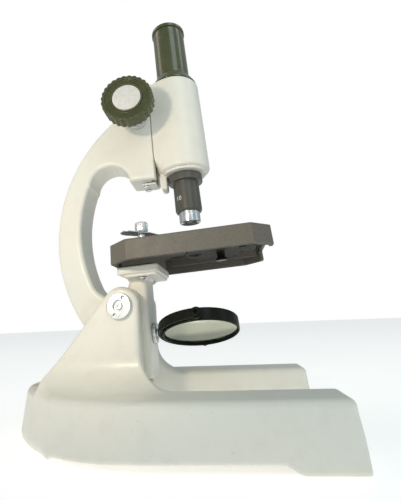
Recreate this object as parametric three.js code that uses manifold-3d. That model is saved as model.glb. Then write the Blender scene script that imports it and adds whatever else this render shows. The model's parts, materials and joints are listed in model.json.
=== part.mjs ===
// A small student microscope: horseshoe foot, tilting C-shaped arm, rack-and-pinion focus,
// fixed objective, plastic stage with clips and an aperture disc, and a swivelling mirror.
// Millimetres, +Z up, +X to the front (over the toes of the foot), +Y to the left of a user
// seated behind the arm.
// The origin is on the table, under the middle of the foot.
import * as THREE from 'three';
import { mergeVertices } from 'three/addons/utils/BufferGeometryUtils.js';
import Module from 'manifold-3d';

const wasm = await Module();
wasm.setup();

// ---------------------------------------------------------------- driving dimensions
const GAP = 0.3;                  // clearance between neighbouring pieces
const ROUND = 36;                 // sides of a large round piece
const SMALL_ROUND = 20;           // sides of a small round piece

const FOOT_LENGTH = 168;
const FOOT_HALF_WIDTH = 61;
const LEG_WIDTH = 27.6;
const FOOT_HEIGHT = 25;
const FOOT_RAISE = 3.2;           // the underside clears the table between the pads,
const HEEL_RAISE = 1.8;           // less just in front of the heel pad
const RAISE_RUN = 40;
const FOOT_WALL = 4;
const TOE_PAD_LENGTH = 26;
const HEEL_PAD_LENGTH = 36;
const PIVOT_FROM_HEEL = 61.5;
const PIVOT_HEIGHT = 65;

const EAR_INNER = 12;             // half-gap between the two ears
const EAR_OUTER = 28.3;
const EAR_RADIUS = 10.2;
const EAR_CENTRE = new THREE.Vector2(-0.2, 0.3);
const EAR_LEAN = 0.8;             // how far the ears' front edges run forward on their way down
const EAR_SLOPE = 1.3;            // rise over run of the ears' straight backs
const EAR_FILLET = 18;            // sweep of the ears' front edges into the legs
const SIDE_FILLET = 15;           // sweep of the ears' sides into the top of the foot
const SLOT_FLOOR = 23;
const HEEL_RIM = 5;               // the slot stops this far short of the heel
const PIVOT_BORE = 4.3;
const BOLT_RADIUS = 4;
const CAP_RADIUS = 6.8;
const CAP_HEIGHT = 2.4;
const CAP_RECESS = 3.1;
const CAP_HOLE = 0.9;
const CAP_HOLE_REACH = 4.9;

const TILT = 4 * Math.PI / 180;   // the arm leans back a little in the stored position
const ARM_HALF = 11.5;
const ARM_OUTER_RADIUS = 105.4;
const ARM_LOWER_RADIUS = 95;
const ARM_INNER_RADIUS = 86;
const ARM_BACK = -44.2;           // rearmost point of the arm, in the arm's own frame
const ARM_MID = 46;
const ARM_INNER_BACK = -28.8;
const ARM_INNER_MID = 50;
const HEAD_FRONT = 23;
const HEAD_BOTTOM = 79.5;
const ARCH_RADIUS = 13.8;
const ARCH_CENTRE = new THREE.Vector2(-8.6, 80.5);
const POST_BACK = 1;
const POST_FRONT = 12;
const POST_BOTTOM = -39;
const THROAT = 14;                // the arm's inner curve starts this high
const BRACKET_HALF = 22;
const BRACKET_BACK = -3;
const BRACKET_FRONT = 21.4;
const BRACKET_TOP = 22;
const BRACKET_BOTTOM = 15.8;

const OPTICAL_AXIS = 42.1;        // distance of the optical axis from the pivot
const GIB_SCREW = new THREE.Vector2(15.2, 4.2);
const GIB_BACK = 12.5;
const GIB_FRONT = 22.4;
const GIB_HALF = 6;
const GIB_THICKNESS = 1.2;

const BODY_RADIUS = 17.9;
const BODY_BOTTOM = 83.5;
const BODY_TOP = 155;
const BODY_BACK = 23.7;
const BODY_BLOCK_BOTTOM = 91;     // the flat back of the body ends above its lower rim
const TONGUE_TOP = 144;
const TONGUE_BACK = 19.9;
const TONGUE_FRONT = 21.4;
const TONGUE_HALF = 7;
const NECK_HALF = 4.8;            // narrower part of the tongue, in the mouth of the way
const SLIDE_GAP = 0.4;
const LUG_BOTTOM = 73;
const LUG_FRONT = 29.8;
const LUG_DEPTH = 4.3;
const LUG_HALF = 5;
const COLLAR_RADIUS = 17.2;
const COLLAR_HEIGHT = 8;
const TUBE_RADIUS = 12.45;
const TUBE_BORE = 11.45;
const TUBE_BOTTOM = 126;
const TUBE_TOP = 207.6;
const EYEPIECE_TOP = 210.8;
const EYEPIECE_RADIUS = 13.2;
const EYEPIECE_BORE = 9.6;
const EYEPIECE_BOTTOM = 176;
const EYE_HOLE = 6;
const BARREL_RADIUS = 8.95;
const BARREL_HEAD = 11.8;
const BARREL_BORE = 7.3;
const BARREL_BOTTOM = 55.9;
const SLEEVE_RADIUS = 7;
const SLEEVE_BORE = 4.4;
const SLEEVE_BOTTOM = 48.6;

const PINION = new THREE.Vector2(13.9, 124.3);
const MODULE = 0.9;
const TEETH = 12;
const PITCH_RADIUS = MODULE * TEETH / 2;
const BACKLASH = 0.5;
const PINION_HALF = 3.2;
const RACK_HALF = 3;
const RACK_BACK = 22.4;
const RACK_TEETH = 16;
const SHAFT_RADIUS = 2.8;
const BUSHING_RADIUS = 3.6;
const BUSHING_FLANGE = 5.8;
const BUSHING_COLLAR = 4.8;
const BUSHING_END = 20.8;
const KNOB_RADIUS = 16.8;
const KNOB_FACE = 42.6;
const KNOB_WIDTH = 9.4;
const FLUTES = 27;
const FLUTE_DEPTH = 0.9;
const INSERT_RADIUS = 9.2;
const DISH_INNER = 10.4;          // shallow ring sunk into the knob's face
const DISH_OUTER = 14.2;

const STAGE_LENGTH = 92;
const STAGE_WIDTH = 81.6;
const STAGE_BOTTOM = 22.3;
const STAGE_TOP = 33.9;
const STAGE_CORNER = 11.3;
const STAGE_WALL = 2.4;
const STAGE_SCREW = new THREE.Vector2(10.5, 15.2);
const PAD_BACK = -1;              // the thick pad over the bracket
const PAD_FRONT = 20.4;
const PAD_HALF = 20.5;
const LIGHT_HOLE = 5.5;
const RIB_FROM_MIDDLE = 27;
const CLIP_POST = new THREE.Vector2(14.8, 28);
const CLIP_ANGLE = 42;
const LEAF_LEVEL = 38.2;
const LEAF_THICKNESS = 0.6;

const DISC_RADIUS = 22.6;
const DISC_CENTRE = 58.9;
const DISC_LEVEL = 27.2;
const DISC_THICKNESS = 1.3;
const DISC_HOLES = [4.6, 3.6, 2.7, 1.9, 1.2];

const MIRROR_LEVEL = -16;
const MIRROR_CENTRE = 40.6;
const MIRROR_TURN = -19.5 * Math.PI / 180;
const CELL_RADIUS = 23;
const CELL_HEIGHT = 7.2;
const FORK_RADIUS = 25.3;
const FORK_HEIGHT = 5.6;
const FORK_BORE = 1.8;
const BOSS_RADIUS = 6.1;
const STUD_RADIUS = 2.3;

// ---------------------------------------------------------------- finishes
function finish(color, roughness, metalness) {
  return new THREE.MeshStandardMaterial({ color, roughness, metalness });
}
const PAINT = finish(0xdedccf, 0.45, 0.05);
const BLACK = finish(0x2b2a26, 0.55, 0.0);
const STAGE_BLACK = finish(0x4a463d, 0.7, 0.0);
const BRIGHT = finish(0xc9cbcd, 0.25, 1.0);
const BRASS = finish(0xb08d4a, 0.35, 1.0);
const WHITE = finish(0xe6e4dd, 0.5, 0.0);
const GLASS = finish(0xbfd3dc, 0.05, 0.0);
const MIRROR = finish(0xcfd8d6, 0.03, 1.0);

// ---------------------------------------------------------------- geometry to solids
function signedVolume(points, triangles) {
  const corner = [new THREE.Vector3(), new THREE.Vector3(), new THREE.Vector3()];
  let sum = 0;
  for (let i = 0; i < triangles.length; i += 3) {
    corner.forEach((vector, k) => vector.fromArray(points, triangles[i + k] * 3));
    sum += corner[0].dot(corner[1].clone().cross(corner[2]));
  }
  return sum;
}

function solid(geometry) {
  const bare = geometry.clone();
  bare.deleteAttribute('normal');
  bare.deleteAttribute('uv');
  const merged = mergeVertices(bare, 1e-4);
  const points = merged.attributes.position.array;
  const triangles = [];
  for (let i = 0; i < merged.index.count; i += 3) {
    const [a, b, c] = merged.index.array.slice(i, i + 3);
    if (a !== b && b !== c && c !== a) triangles.push(a, b, c);
  }
  if (signedVolume(points, triangles) < 0) triangles.reverse();
  const vertProperties = new Float32Array(points);
  const triVerts = new Uint32Array(triangles);
  return new wasm.Manifold(new wasm.Mesh({ numProp: 3, vertProperties, triVerts }));
}

function join(...solids) {
  return solids.reduce((whole, piece) => whole.add(piece));
}

function cut(whole, ...tools) {
  return tools.reduce((rest, tool) => rest.subtract(tool), whole);
}

function part(name, shape, material) {
  const { numProp, vertProperties, triVerts } = shape.getMesh();
  const positions = new THREE.InterleavedBuffer(vertProperties, numProp);
  const geometry = new THREE.BufferGeometry();
  geometry.setAttribute('position', new THREE.InterleavedBufferAttribute(positions, 3, 0));
  geometry.setIndex(new THREE.BufferAttribute(triVerts, 1));
  const mesh = new THREE.Mesh(geometry.toNonIndexed(), material);
  mesh.geometry.computeVertexNormals();
  mesh.name = name;
  return mesh;
}

// ---------------------------------------------------------------- basic shapes
function extruded(shape, depth, curveSegments) {
  return new THREE.ExtrudeGeometry(shape, { depth, bevelEnabled: false, curveSegments });
}

// A profile drawn in X and Z, extruded from y = low to y = high.
function slabY(shape, low, high, curveSegments = 12) {
  const geometry = extruded(shape, high - low, curveSegments);
  return solid(geometry.rotateX(Math.PI / 2).translate(0, high, 0));
}

// A plan drawn in X and Y, extruded from z = low to z = high.
function slabZ(shape, low, high, curveSegments = 12) {
  return solid(extruded(shape, high - low, curveSegments).translate(0, 0, low));
}

function box(low, high) {
  const size = high.map((value, i) => value - low[i]);
  const middle = high.map((value, i) => (value + low[i]) / 2);
  return solid(new THREE.BoxGeometry(...size).translate(...middle));
}

// A turned piece on the Z axis; rows are [radius, height] and start and end on the axis,
// or close on themselves.
function turned(rows, sides = ROUND) {
  const profile = rows.map(([radius, height]) => new THREE.Vector2(radius, height));
  return solid(new THREE.LatheGeometry(profile, sides).rotateX(Math.PI / 2));
}

function ring(inner, outer, low, high, sides = ROUND) {
  return turned([[inner, low], [outer, low], [outer, high], [inner, high], [inner, low]], sides);
}

function rod(radius, low, high, sides = ROUND) {
  return turned([[0, low], [radius, low], [radius, high], [0, high]], sides);
}

const ALONG_X = [0, 90, 0];
const ALONG_Y = [-90, 0, 0];

// Turns a piece drawn along Z to point out of the near side (-1) or the far side (1).
function outwards(shape, side) {
  return shape.rotate([-90 * side, 0, 0]);
}

function polygon(points) {
  return new THREE.Shape(points.map(([x, y]) => new THREE.Vector2(x, y)));
}

// A closed outline through points given as [radius, angle].
function polar(points) {
  return polygon(points.map(([radius, angle]) => [
    radius * Math.cos(angle),
    radius * Math.sin(angle),
  ]));
}

// ---------------------------------------------------------------- the foot
const HEEL = -FOOT_LENGTH / 2;
const TOE = FOOT_LENGTH / 2;
const PIVOT_X = HEEL + PIVOT_FROM_HEEL;

// Plan of the horseshoe, drawn inwards by inset: straight legs and a pointed, rounded heel.
function footPlan(inset) {
  const side = FOOT_HALF_WIDTH - inset;
  const inner = FOOT_HALF_WIDTH - LEG_WIDTH + inset;
  const heel = HEEL + inset;
  const toe = TOE - inset;
  const bendStart = PIVOT_X + 18;
  const bendReach = 40;
  const bay = PIVOT_X + 12 - inset;
  const bayLength = 36;
  const bayWidth = 21;
  const plan = new THREE.Shape();
  plan.moveTo(toe, -side);
  plan.lineTo(toe, -inner);
  plan.lineTo(bay + bayLength, -inner);
  plan.quadraticCurveTo(bay, -inner, bay, -inner + bayWidth);
  plan.lineTo(bay, inner - bayWidth);
  plan.quadraticCurveTo(bay, inner, bay + bayLength, inner);
  plan.lineTo(toe, inner);
  plan.lineTo(toe, side);
  plan.lineTo(bendStart, side);
  plan.bezierCurveTo(bendStart - bendReach, side, heel, 22, heel, 0);
  plan.bezierCurveTo(heel, -22, bendStart - bendReach, -side, bendStart, -side);
  return plan;
}

// Side view of the ears: round top, straight back, and a hollow sweep forward into the legs.
function earProfile() {
  const { x, y } = EAR_CENTRE;
  const lean = Math.PI - Math.atan(1 / EAR_SLOPE);
  const level = FOOT_HEIGHT - PIVOT_HEIGHT;
  const root = level - 2;
  const slopeTop = [x + EAR_RADIUS * Math.cos(lean), y + EAR_RADIUS * Math.sin(lean)];
  const back = slopeTop[0] - (slopeTop[1] - root) / EAR_SLOPE;
  const sweep = x + EAR_RADIUS + EAR_LEAN + EAR_FILLET;
  const profile = new THREE.Shape();
  profile.moveTo(back, root);
  profile.lineTo(sweep, root);
  profile.lineTo(sweep, level);
  profile.absarc(sweep, level + EAR_FILLET, EAR_FILLET, -Math.PI / 2, -Math.PI, true);
  profile.lineTo(x + EAR_RADIUS, y);
  profile.absarc(x, y, EAR_RADIUS, 0, lean, false);
  return profile;
}

// What is cut away beside one ear, to leave its hollow sweep down to the foot.
function sideSweep(side) {
  const level = FOOT_HEIGHT + SIDE_FILLET;
  const middle = side * (EAR_OUTER + SIDE_FILLET);
  const above = box([HEEL, middle - SIDE_FILLET, level], [TOE, middle + SIDE_FILLET, level + 80]);
  const round = rod(SIDE_FILLET, HEEL, TOE).rotate(ALONG_X).translate([0, middle, level]);
  return join(above, round);
}

// The space under the foot, between the pads at the heel and the toes.
function underArch() {
  const heelPad = HEEL + HEEL_PAD_LENGTH;
  const toePad = TOE - TOE_PAD_LENGTH;
  const outline = [
    [heelPad, -1],
    [toePad, -1],
    [toePad, FOOT_RAISE],
    [heelPad + RAISE_RUN, FOOT_RAISE],
    [heelPad, HEEL_RAISE],
  ];
  return slabY(polygon(outline), -FOOT_HALF_WIDTH - 1, FOOT_HALF_WIDTH + 1);
}

function footCasting() {
  const top = PIVOT_HEIGHT + 2 * EAR_RADIUS;
  const plate = slabZ(footPlan(0), 0, FOOT_HEIGHT, 16);
  const above = slabZ(footPlan(0), 1, top, 16);
  const reach = EAR_OUTER + SIDE_FILLET;
  const block = slabY(earProfile(), -reach, reach).translate([PIVOT_X, 0, PIVOT_HEIGHT]);
  const ears = cut(block.intersect(above), sideSweep(-1), sideSweep(1));
  const slot = box([HEEL + HEEL_RIM, -EAR_INNER, SLOT_FLOOR], [TOE, EAR_INNER, top]);
  const hollow = slabZ(footPlan(FOOT_WALL), -1, FOOT_HEIGHT - FOOT_WALL, 12);
  const bore = rod(PIVOT_BORE, -EAR_OUTER - 1, EAR_OUTER + 1, SMALL_ROUND).rotate(ALONG_Y);
  return cut(join(plate, ears), slot, hollow, underArch(), bore.translate([PIVOT_X, 0, PIVOT_HEIGHT]));
}

// ---------------------------------------------------------------- the pivot
function pivotCap(side) {
  const edge = 0.7;
  const rows = [
    [0, 0],
    [CAP_RADIUS, 0],
    [CAP_RADIUS, CAP_HEIGHT - edge],
    [CAP_RADIUS - edge, CAP_HEIGHT],
    [0, CAP_HEIGHT],
  ];
  const recess = rod(CAP_RECESS, CAP_HEIGHT / 2, CAP_HEIGHT + 1, SMALL_ROUND);
  const holes = [-1, 1].map((way) =>
    rod(CAP_HOLE, 1, CAP_HEIGHT + 1, 10).translate([way * CAP_HOLE_REACH, 0, 0]));
  return outwards(cut(turned(rows), recess, ...holes).rotate([0, 0, 65]), side)
    .translate([PIVOT_X, side * (EAR_OUTER + GAP), PIVOT_HEIGHT]);
}

function pivotBolt() {
  const reach = EAR_OUTER - 0.4;
  return rod(BOLT_RADIUS, -reach, reach, SMALL_ROUND)
    .rotate(ALONG_Y)
    .translate([PIVOT_X, 0, PIVOT_HEIGHT]);
}

// ---------------------------------------------------------------- the arm, in its own frame
function armProfile() {
  const outerX = ARM_BACK + ARM_OUTER_RADIUS;
  const lowerX = ARM_BACK + ARM_LOWER_RADIUS;
  const innerX = ARM_INNER_BACK + ARM_INNER_RADIUS;
  const crown = Math.PI - Math.acos((outerX - HEAD_FRONT) / ARM_OUTER_RADIUS);
  const tuck = Math.PI + Math.asin(62 / ARM_LOWER_RADIUS);
  const innerLow = Math.PI + Math.asin((ARM_INNER_MID - THROAT) / ARM_INNER_RADIUS);
  const innerHigh = Math.PI - Math.asin((ARCH_CENTRE.y - ARM_INNER_MID) / ARM_INNER_RADIUS);
  const profile = new THREE.Shape();
  profile.moveTo(HEAD_FRONT, HEAD_BOTTOM);
  profile.lineTo(HEAD_FRONT, ARM_MID + ARM_OUTER_RADIUS * Math.sin(crown));
  profile.absarc(outerX, ARM_MID, ARM_OUTER_RADIUS, crown, Math.PI, false);
  profile.absarc(lowerX, ARM_MID, ARM_LOWER_RADIUS, Math.PI, tuck, false);
  profile.quadraticCurveTo(-10, -22, POST_BACK, -22);
  profile.lineTo(POST_BACK, POST_BOTTOM);
  profile.lineTo(POST_FRONT, POST_BOTTOM);
  profile.lineTo(POST_FRONT, BRACKET_TOP);
  profile.lineTo(POST_BACK, BRACKET_TOP);
  profile.lineTo(POST_BACK, THROAT);
  profile.bezierCurveTo(-1, 4, -15, 4, innerX + ARM_INNER_RADIUS * Math.cos(innerLow), THROAT);
  profile.absarc(innerX, ARM_INNER_MID, ARM_INNER_RADIUS, innerLow, innerHigh, true);
  profile.absarc(ARCH_CENTRE.x, ARCH_CENTRE.y, ARCH_RADIUS, Math.PI, 0, true);
  return profile;
}

function bracketProfile() {
  return polygon([
    [BRACKET_BACK, BRACKET_TOP],
    [BRACKET_BACK, BRACKET_TOP - 2],
    [BRACKET_BACK + 4, BRACKET_BOTTOM],
    [BRACKET_FRONT, BRACKET_BOTTOM],
    [BRACKET_FRONT, BRACKET_TOP],
  ]);
}

// The undercut way that the body's tongue slides in, with room for the rack and pinion.
function slideway() {
  const low = HEAD_BOTTOM - 10;
  const high = BODY_TOP;
  const back = TONGUE_BACK - SLIDE_GAP;
  const front = TONGUE_FRONT + SLIDE_GAP;
  const across = TONGUE_HALF + GAP;
  const mouth = NECK_HALF + GAP;
  const channel = RACK_HALF + 2 * GAP;
  const wide = box([back, -across, low], [front, across, high]);
  const neck = box([TONGUE_FRONT, -mouth, low], [HEAD_FRONT + 1, mouth, high]);
  const teeth = box([back - 1.5, -channel, low], [back + 0.5, channel, high]);
  const pocket = rod(PITCH_RADIUS + 1.4, -4, 4, SMALL_ROUND);
  const bore = rod(BUSHING_RADIUS + GAP, -ARM_HALF - 1, ARM_HALF + 1, SMALL_ROUND);
  const shaftSpace = join(pocket, bore).rotate(ALONG_Y).translate([PINION.x, 0, PINION.y]);
  return join(wide, neck, teeth, shaftSpace);
}

function armCasting() {
  const arm = slabY(armProfile(), -ARM_HALF, ARM_HALF, 14);
  const bracket = slabY(bracketProfile(), -BRACKET_HALF, BRACKET_HALF);
  const pivot = rod(PIVOT_BORE, -ARM_HALF - 1, ARM_HALF + 1, SMALL_ROUND).rotate(ALONG_Y);
  const studHole = rod(STUD_RADIUS + GAP, 2, 20, SMALL_ROUND).rotate(ALONG_X);
  const screwHoles = [-1, 1].map((side) =>
    rod(2.1, 0, 40, SMALL_ROUND).translate([STAGE_SCREW.x, side * STAGE_SCREW.y, 0]));
  const gibHoles = [-1, 1].map((side) =>
    rod(1.2, 70, 86, 10).translate([GIB_SCREW.x, side * GIB_SCREW.y, 0]));
  const holes = [pivot, studHole.translate([0, 0, MIRROR_LEVEL]), ...screwHoles, ...gibHoles];
  return cut(join(arm, bracket), slideway(), ...holes);
}

function bushing(side) {
  const bore = SHAFT_RADIUS + GAP;
  const rows = [
    [bore, -3],
    [BUSHING_RADIUS, -3],
    [BUSHING_RADIUS, GAP],
    [BUSHING_FLANGE, GAP],
    [BUSHING_FLANGE, 3],
    [BUSHING_COLLAR, 3],
    [BUSHING_COLLAR, BUSHING_END],
    [bore, BUSHING_END],
    [bore, -3],
  ];
  return outwards(turned(rows, 24), side).translate([PINION.x, side * ARM_HALF, PINION.y]);
}

function gibPlate() {
  const top = HEAD_BOTTOM - GAP;
  const plate = box([GIB_BACK, -GIB_HALF, top - GIB_THICKNESS], [GIB_FRONT, GIB_HALF, top]);
  const holes = [-1, 1].map((side) =>
    rod(1.3, 70, 90, 10).translate([GIB_SCREW.x, side * GIB_SCREW.y, 0]));
  return cut(plate, ...holes);
}

function gibScrew(side) {
  const bottom = HEAD_BOTTOM - 2 * GAP - GIB_THICKNESS;
  const rows = [
    [0, bottom - 0.6],
    [1.8, bottom - 0.6],
    [2, bottom],
    [0.9, bottom],
    [0.9, 85],
    [0, 85],
  ];
  return turned(rows, 12).translate([GIB_SCREW.x, side * GIB_SCREW.y, 0]);
}

// ---------------------------------------------------------------- the focus drive
function pinionOutline() {
  const base = PITCH_RADIUS * Math.cos(Math.PI / 9);
  const tip = PITCH_RADIUS + MODULE * 0.9;
  const root = PITCH_RADIUS - MODULE * 1.25;
  const involute = (radius) => {
    const turn = Math.acos(Math.min(1, base / radius));
    return Math.tan(turn) - turn;
  };
  const thickness = Math.PI * MODULE / 2 - BACKLASH / 2;
  const halfAtPitch = thickness / (2 * PITCH_RADIUS);
  const half = (radius) => halfAtPitch + involute(PITCH_RADIUS) - involute(radius);
  const levels = [root, base, (base + tip) / 2, tip];
  const points = [];
  for (let tooth = 0; tooth < TEETH; tooth += 1) {
    const middle = (tooth * 2 * Math.PI) / TEETH;
    const rising = levels.map((radius) => [radius, middle - half(Math.max(radius, base))]);
    const falling = levels.map((radius) => [radius, middle + half(Math.max(radius, base))]);
    points.push(...rising, ...falling.reverse());
  }
  return polar(points);
}

function pinionShaft() {
  const shaft = rod(SHAFT_RADIUS, -KNOB_FACE + 5, KNOB_FACE - 5, SMALL_ROUND).rotate(ALONG_Y);
  const pinion = slabY(pinionOutline(), -PINION_HALF, PINION_HALF);
  return join(shaft, pinion).translate([PINION.x, 0, PINION.y]);
}

function rackBar() {
  const pitchLine = PINION.x + PITCH_RADIUS;
  const pitch = Math.PI * MODULE;
  const halfTooth = pitch / 4 - BACKLASH / 4;
  const slope = Math.tan(Math.PI / 9);
  const tipRise = MODULE * 0.7;
  const rootDrop = MODULE * 1.15;
  const half = (RACK_TEETH + 1) * pitch / 2;
  const outline = [[RACK_BACK, PINION.y + half], [RACK_BACK, PINION.y - half]];
  for (let tooth = 0; tooth < RACK_TEETH; tooth += 1) {
    const centre = PINION.y + (tooth + 0.5 - RACK_TEETH / 2) * pitch;
    outline.push([pitchLine + rootDrop, centre - halfTooth - rootDrop * slope]);
    outline.push([pitchLine - tipRise, centre - halfTooth + tipRise * slope]);
    outline.push([pitchLine - tipRise, centre + halfTooth - tipRise * slope]);
    outline.push([pitchLine + rootDrop, centre + halfTooth + rootDrop * slope]);
  }
  return slabY(polygon(outline), -RACK_HALF, RACK_HALF);
}

function knobOutline() {
  const floor = KNOB_RADIUS - FLUTE_DEPTH;
  const step = (2 * Math.PI) / FLUTES;
  const points = [];
  for (let flute = 0; flute < FLUTES; flute += 1) {
    const angle = flute * step;
    points.push([KNOB_RADIUS, angle - step * 0.28], [KNOB_RADIUS, angle + step * 0.28]);
    points.push([floor, angle + step * 0.42], [floor, angle + step * 0.58]);
  }
  return polar(points);
}

function knob(side) {
  const disc = slabZ(knobOutline(), 0, KNOB_WIDTH);
  const dish = ring(DISH_INNER, DISH_OUTER, KNOB_WIDTH - 1.2, KNOB_WIDTH + 1, 28);
  const seat = rod(INSERT_RADIUS + GAP, KNOB_WIDTH - 1.5, KNOB_WIDTH + 1, 28);
  const bore = rod(SHAFT_RADIUS + GAP, -1, 5.2, SMALL_ROUND);
  return outwards(cut(disc, dish, seat, bore), side)
    .translate([PINION.x, side * (KNOB_FACE - KNOB_WIDTH), PINION.y]);
}

function knobInsert(side) {
  return outwards(rod(INSERT_RADIUS, 0, 1.1, 28), side)
    .translate([PINION.x, side * (KNOB_FACE - 1.2), PINION.y]);
}

// ---------------------------------------------------------------- the focusing body
function bodyTube() {
  const rows = [
    [0, BODY_BOTTOM - 1],
    [14.6, BODY_BOTTOM - 1],
    [15.2, BODY_BOTTOM],
    [BODY_RADIUS - 0.6, BODY_BOTTOM + 1],
    [BODY_RADIUS, BODY_BOTTOM + 2.6],
    [BODY_RADIUS, BODY_TOP - 2.6],
    [BODY_RADIUS - 0.6, BODY_TOP - 0.8],
    [BODY_RADIUS - 1.7, BODY_TOP],
    [0, BODY_TOP],
  ];
  const low = BODY_BLOCK_BOTTOM;
  const front = TONGUE_FRONT;
  const channel = RACK_HALF + GAP;
  const column = turned(rows, 48).translate([OPTICAL_AXIS, 0, 0]);
  const block = box([BODY_BACK, -ARM_HALF, low], [OPTICAL_AXIS, ARM_HALF, BODY_TOP - 1]);
  const wings = box([TONGUE_BACK, -TONGUE_HALF, low], [front, TONGUE_HALF, TONGUE_TOP]);
  const neck = box([front - 0.4, -NECK_HALF, low], [BODY_BACK + 1, NECK_HALF, TONGUE_TOP]);
  const groove = box([TONGUE_BACK - 1, -channel, 60], [RACK_BACK + GAP, channel, 200]);
  const lug = slabY(lugProfile(), -LUG_HALF, LUG_HALF);
  const lowBore = rod(9.9, BODY_BOTTOM - 9, BODY_BOTTOM + 30, 28);
  const highBore = rod(TUBE_RADIUS + GAP, BODY_BOTTOM + 29, BODY_TOP + 1);
  const bores = join(lowBore, highBore).translate([OPTICAL_AXIS, 0, 0]);
  return cut(join(column, block, wings, neck, lug), groove, bores);
}

// The rounded lug that hangs below the body, behind the objective.
function lugProfile() {
  const back = LUG_FRONT - LUG_DEPTH;
  const round = LUG_DEPTH / 2;
  const profile = new THREE.Shape();
  profile.moveTo(back, BODY_BLOCK_BOTTOM + 2);
  profile.lineTo(back, LUG_BOTTOM + round);
  profile.absarc(back + round, LUG_BOTTOM + round, round, Math.PI, 2 * Math.PI, false);
  profile.lineTo(LUG_FRONT, BODY_BLOCK_BOTTOM + 2);
  return profile;
}

function tubeCollar() {
  const low = BODY_TOP + GAP;
  const high = low + COLLAR_HEIGHT;
  const bore = TUBE_RADIUS + GAP;
  const rows = [
    [bore, low],
    [COLLAR_RADIUS, low],
    [COLLAR_RADIUS, low + 1.2],
    [bore + 0.6, high],
    [bore, high],
    [bore, low],
  ];
  return turned(rows).translate([OPTICAL_AXIS, 0, 0]);
}

function eyepieceTube() {
  return ring(TUBE_BORE, TUBE_RADIUS, TUBE_BOTTOM, TUBE_TOP).translate([OPTICAL_AXIS, 0, 0]);
}

function eyepieceCap() {
  const sleeve = TUBE_BORE - GAP;
  const low = TUBE_TOP + GAP;
  const top = EYEPIECE_TOP;
  const rows = [
    [EYEPIECE_BORE, EYEPIECE_BOTTOM],
    [sleeve, EYEPIECE_BOTTOM],
    [sleeve, low],
    [EYEPIECE_RADIUS, low],
    [EYEPIECE_RADIUS, top - 0.8],
    [EYEPIECE_RADIUS - 0.8, top],
    [sleeve, top],
    [EYE_HOLE + 1, top - 3],
    [EYE_HOLE, top - 3],
    [EYE_HOLE, top - 5],
    [EYEPIECE_BORE, top - 5],
    [EYEPIECE_BORE, EYEPIECE_BOTTOM],
  ];
  return turned(rows).translate([OPTICAL_AXIS, 0, 0]);
}

function lens(radius, edgeLow, edgeHigh, bulge) {
  const rows = [
    [0, edgeLow],
    [radius, edgeLow],
    [radius, edgeHigh],
    [radius * 0.7, edgeHigh + bulge * 0.55],
    [radius * 0.35, edgeHigh + bulge * 0.9],
    [0, edgeHigh + bulge],
  ];
  return turned(rows, 28).translate([OPTICAL_AXIS, 0, 0]);
}

function objectiveBarrel() {
  const top = BODY_BOTTOM - 1.3;
  const shank = 9.5;
  const head = top - 5.4;
  const thread = 92;
  const rows = [
    [BARREL_BORE, thread],
    [shank, thread],
    [shank, top],
    [BARREL_HEAD, top],
    [BARREL_HEAD, head],
    [BARREL_RADIUS - 0.15, head],
    [BARREL_RADIUS, BARREL_BOTTOM + 1.5],
    [BARREL_RADIUS - 0.65, BARREL_BOTTOM],
    [BARREL_BORE, BARREL_BOTTOM],
    [BARREL_BORE, thread],
  ];
  return turned(rows, 36).translate([OPTICAL_AXIS, 0, 0]);
}

function objectiveSleeve() {
  const top = 68;
  const low = SLEEVE_BOTTOM;
  const rows = [
    [SLEEVE_BORE, low + 1],
    [SLEEVE_RADIUS - 0.8, low],
    [SLEEVE_RADIUS, low + 0.3],
    [SLEEVE_RADIUS, top],
    [SLEEVE_BORE, top],
    [SLEEVE_BORE, low + 1],
  ];
  return turned(rows, 32).translate([OPTICAL_AXIS, 0, 0]);
}

// ---------------------------------------------------------------- the stage
function stagePlan(inset) {
  const low = OPTICAL_AXIS - STAGE_LENGTH / 2 + inset;
  const high = OPTICAL_AXIS + STAGE_LENGTH / 2 - inset;
  const half = STAGE_WIDTH / 2 - inset;
  const corner = STAGE_CORNER - inset * (2 - Math.SQRT2);
  return polygon([
    [low + corner, -half],
    [high - corner, -half],
    [high, -half + corner],
    [high, half - corner],
    [high - corner, half],
    [low + corner, half],
    [low, half - corner],
    [low, -half + corner],
  ]);
}

function stagePlate() {
  const under = STAGE_TOP - 1;
  const below = STAGE_BOTTOM - 1;
  const shell = slabZ(stagePlan(0), STAGE_BOTTOM, STAGE_TOP);
  const hollow = slabZ(stagePlan(STAGE_WALL), below, STAGE_TOP - STAGE_WALL);
  const pad = box([PAD_BACK, -PAD_HALF, STAGE_BOTTOM], [PAD_FRONT, PAD_HALF, under]);
  const boss = ring(LIGHT_HOLE, 9, STAGE_TOP - 4, under, 24).translate([OPTICAL_AXIS, 0, 0]);
  const hubBottom = DISC_LEVEL + DISC_THICKNESS + GAP;
  const hub = rod(5, hubBottom, under, SMALL_ROUND).translate([DISC_CENTRE, 0, 0]);
  const ribs = [-1, 1].map((side) =>
    box([PAD_FRONT, side * RIB_FROM_MIDDLE - 0.8, 26], [84, side * RIB_FROM_MIDDLE + 0.8, under]));
  const notch = box([80, -25, below], [90, 25, 28.4]);
  const light = rod(LIGHT_HOLE, below, STAGE_TOP + 1, 24).translate([OPTICAL_AXIS, 0, 0]);
  const hubHole = rod(1.6, below, under, 12).translate([DISC_CENTRE, 0, 0]);
  const screws = [-1, 1].map((side) =>
    rod(2, below, STAGE_TOP - 2, 12).translate([STAGE_SCREW.x, side * STAGE_SCREW.y, 0]));
  const posts = [-1, 1].map((side) =>
    rod(1.9, below, STAGE_TOP + 1, 12).translate([CLIP_POST.x, side * CLIP_POST.y, 0]));
  const tray = join(cut(shell, hollow), pad, boss, hub, ...ribs);
  return cut(tray, notch, light, hubHole, ...screws, ...posts);
}

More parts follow.
